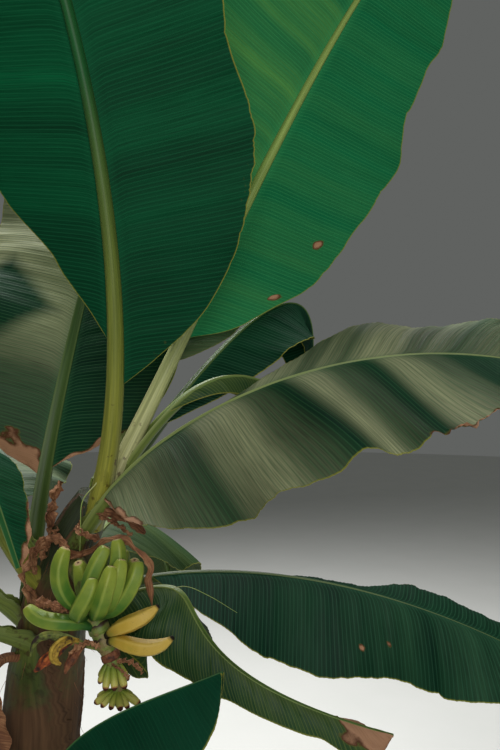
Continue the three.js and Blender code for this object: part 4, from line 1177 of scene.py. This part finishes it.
# Small scraps: a bract on the left finger, curls beside the stalk, ends of sheaths round the neck
SCRAPS = [
    (15, 15, 90, 0.9, [[150, -270, 1146], [126, -282, 1159], [102, -286, 1167], [84, -284, 1172]]),
    (7, 100, 0, 1.5, [[214, -262, 1066], [196, -276, 1078], [176, -280, 1074], [166, -276, 1060]]),
    (8, 60, 30, 1.3, [[190, -252, 1076], [174, -268, 1074], [158, -274, 1060], [150, -274, 1046]]),
    (8, 80, 60, 1.2, [[250, -262, 1036], [274, -274, 1042], [296, -276, 1030], [306, -272, 1016]]),
    (5, 60, 40, 1.4, [[238, -262, 1030], [262, -282, 1026], [280, -286, 1010]]),
    (17, 50, 80, 1.2, [[120, -158, 1246], [92, -140, 1266], [62, -132, 1262], [30, -124, 1222]]),
    (16, 40, 10, 1.1, [[88, -120, 1290], [66, -128, 1252], [52, -134, 1216]]),
    (13, 60, 20, 1.2, [[30, -110, 1180], [38, -136, 1206], [36, -140, 1240], [60, -130, 1270]]),
    (17, 30, 70, 1.1, [[150, -96, 1296], [204, -160, 1332], [260, -186, 1318], [300, -200, 1292]]),
    (12, 50, 100, 1.4, [[172, -130, 1322], [214, -176, 1320], [250, -196, 1302], [272, -206, 1290]]),
    (14, 60, 30, 1.3, [[150, -112, 1306], [136, -140, 1296], [160, -168, 1284], [196, -180, 1276]]),
]
# Threads of sheath, each with its thickness: one from the first petiole to the fruit, one off a leaf
THREADS = [
    (1.5, [[178, -112, 1425], [184, -142, 1400], [152, -152, 1356], [147, -152, 1290], [149, -168, 1232]]),
    (0.8, [[335, -135, 1146], [385, -165, 1166], [440, -190, 1152], [502, -200, 1118]]),
]
STRIP_STEPS, STRIP_COLUMNS, STRIP_THICK = 60, 15, 1.4


def rag(piece, half, twist, start, roll, seed, line):
    """A dried strip: a thin closed sheet along a line, rolled in across, twisted and crumpled."""
    path = through_all(line, STRIP_STEPS)
    across, over = (way[:, None] for way in swept_frame(path))
    share, side = np.linspace(0, 1, STRIP_STEPS)[:, None], np.linspace(-1, 1, STRIP_COLUMNS)[None]
    width = half * MM * (0.72 + 0.28 * ripple(share, 0.4, seed))
    width = width * np.clip(8 * share + 0.3, 0, 1) * np.clip(8 * (1 - share) + 0.3, 0, 1)
    ragged = 1 + 0.14 * ripple(share, 0.11, seed + 1) * np.abs(side) ** 3
    bend = roll * (1 + 0.4 * ripple(share, 0.5, seed + 2))
    flat = width * ragged * np.sin(side * bend) / bend
    rise = width * (np.cos(side * bend) - 0.6) / bend
    rise = rise + 4 * MM * crumple(share * 0.4, side * 0.03, 0.05, seed + 3)
    turn = np.radians(start + twist * share)
    top, bottom = (path[:, None] + across * (flat * np.cos(turn) - up * np.sin(turn))[..., None]
                   + over * (flat * np.sin(turn) + up * np.cos(turn))[..., None]
                   for up in (rise + STRIP_THICK * MM / 2, rise - STRIP_THICK * MM / 2))
    piece.sheet(top, bottom, vein=side * 0.03, rib=share * 0.5)


for node, *shape in STRIPS:
    piece = Piece()
    rag(piece, *shape)
    piece.make(node.replace("dry_", "rag_"), [paper_brown], "dry_leaf", [node], crease=60)

scraps = Piece()
for number, (*shape, line) in enumerate(SCRAPS):
    rag(scraps, *shape, 110 + number, line)
for thick, line in THREADS:
    radius = np.broadcast_to(np.linspace(1.2, 0.5, STRIP_STEPS)[:, None] * thick * MM, (STRIP_STEPS, 8))
    tube(scraps, through_all(line, STRIP_STEPS), radius, 1, vein=0.004, rib=0.3)
scraps.make("rag_scraps", [paper_brown, RIBS["translucent"]], "dry_leaf", crease=60)

# Torn fibres of the outer sheaths hang from the stem all round, each about a finger long, from a
# hand's breadth above the ground up
tree, given = new_tree("sheath_fibres", {"Thickly": 300.0, "Length": 0.05, "Thickness": 0.001, "Seed": 3})
level = add_node(tree, "ShaderNodeSeparateXYZ", {0: add_node(tree, "GeometryNodeInputPosition")}, 2)
off_ground = add_node(tree, "FunctionNodeCompare", {0: level, 1: 0.14}, operation="GREATER_THAN")
seats = add_node(tree, "GeometryNodeDistributePointsOnFaces", {
    "Mesh": given["Geometry"], "Selection": off_ground, "Density": given["Thickly"], "Seed": given["Seed"]})
sway = chance_of(tree, given["Seed"], (-0.35, -0.35, -1.1), (0.35, 0.35, -0.9))
hang = arrows(tree, "ADD", sway, arrows(tree, "SCALE", seats.node.outputs["Normal"], 0.22))
aside = maths(tree, "MULTIPLY", given["Length"], 0.12)
bend = add_node(tree, "GeometryNodeCurveQuadraticBezier", {
    "Resolution": 6, "Start": (0, 0, -0.006), "End": upwards(tree, given["Length"]),
    "Middle": upwards(tree, maths(tree, "MULTIPLY", given["Length"], 0.5), aside, aside)})
taper = fit(tree, add_node(tree, "GeometryNodeSplineParameter"), to_low=1.0, to_high=0.25)
fibre = swept(tree, bend, circle(tree, 4, given["Thickness"]), **{"Scale": taper, "Fill Caps": True})
vary = chance_of(tree, given["Seed"], 0.35, 1.2)
end_tree(tree, copies(tree, seats, fibre, facing(tree, hang), vary), given["Finish"])
fibres = run_tree("sheath_fibres", tree, stem_mesh.copy(), {
    "Thickly": 340.0, "Length": 0.055, "Thickness": 0.0009, "Seed": 3, "Finish": paper_brown})
settle(fibres)


# The studio.
# A pale round floor and soft lamps: a broad one high behind the plant lays the sheen on the arching
# blades, as the open sky does, and a weaker one in front fills their shaded undersides.
FLOOR_RADIUS, FLOOR_SIDES = 14, 64
LAMPS = [("sky_panel", 230, 2.6, (-0.2, 1.7, 4.0), (0.5, -0.1, 1.5)),
         ("front_fill", 60, 1.8, (0.9, -3.4, 2.2), (0.3, -0.2, 1.5))]
lens = bpy.data.cameras.new("camera")
lens.lens, lens.sensor_width = 35, 36
camera = stand("camera", lens)
camera.location, camera.rotation_euler = (0.53, -1.8, 1.64), (math.pi / 2, 0, 0)
bpy.context.scene.camera = camera

# Matt pale floor paint, faintly uneven
floor_finish, tree = new_finish("studio_floor_matt_pale")
coat(floor_finish, blend(tree, noise(tree, 3, 3), "#DADBD6", "#E2E2DE"), 0.9)
floor_mesh = bpy.data.meshes.new("studio_floor")
rim = [(FLOOR_RADIUS * math.cos(a), FLOOR_RADIUS * math.sin(a), 0) for a in turns(FLOOR_SIDES)]
floor_mesh.from_pydata(rim, [], [range(FLOOR_SIDES)])
floor_mesh.materials.append(floor_finish)
stand("studio_floor", floor_mesh)

for name, power, size, place, aim in LAMPS:
    lamp = bpy.data.lights.new(name, "AREA")
    lamp.energy, lamp.size = power, size
    body = stand(name, lamp)
    body.location = place
    body.rotation_euler = (Vector(aim) - Vector(place)).to_track_quat("-Z", "Y").to_euler()

world = bpy.data.worlds.new("studio_air")
world.use_nodes = True
air = world.node_tree.nodes["Background"].inputs
air[0].default_value, air[1].default_value = linear("#D8DCD8"), 0.17
bpy.context.scene.world = world
bpy.context.scene.view_settings.view_transform = "Standard"
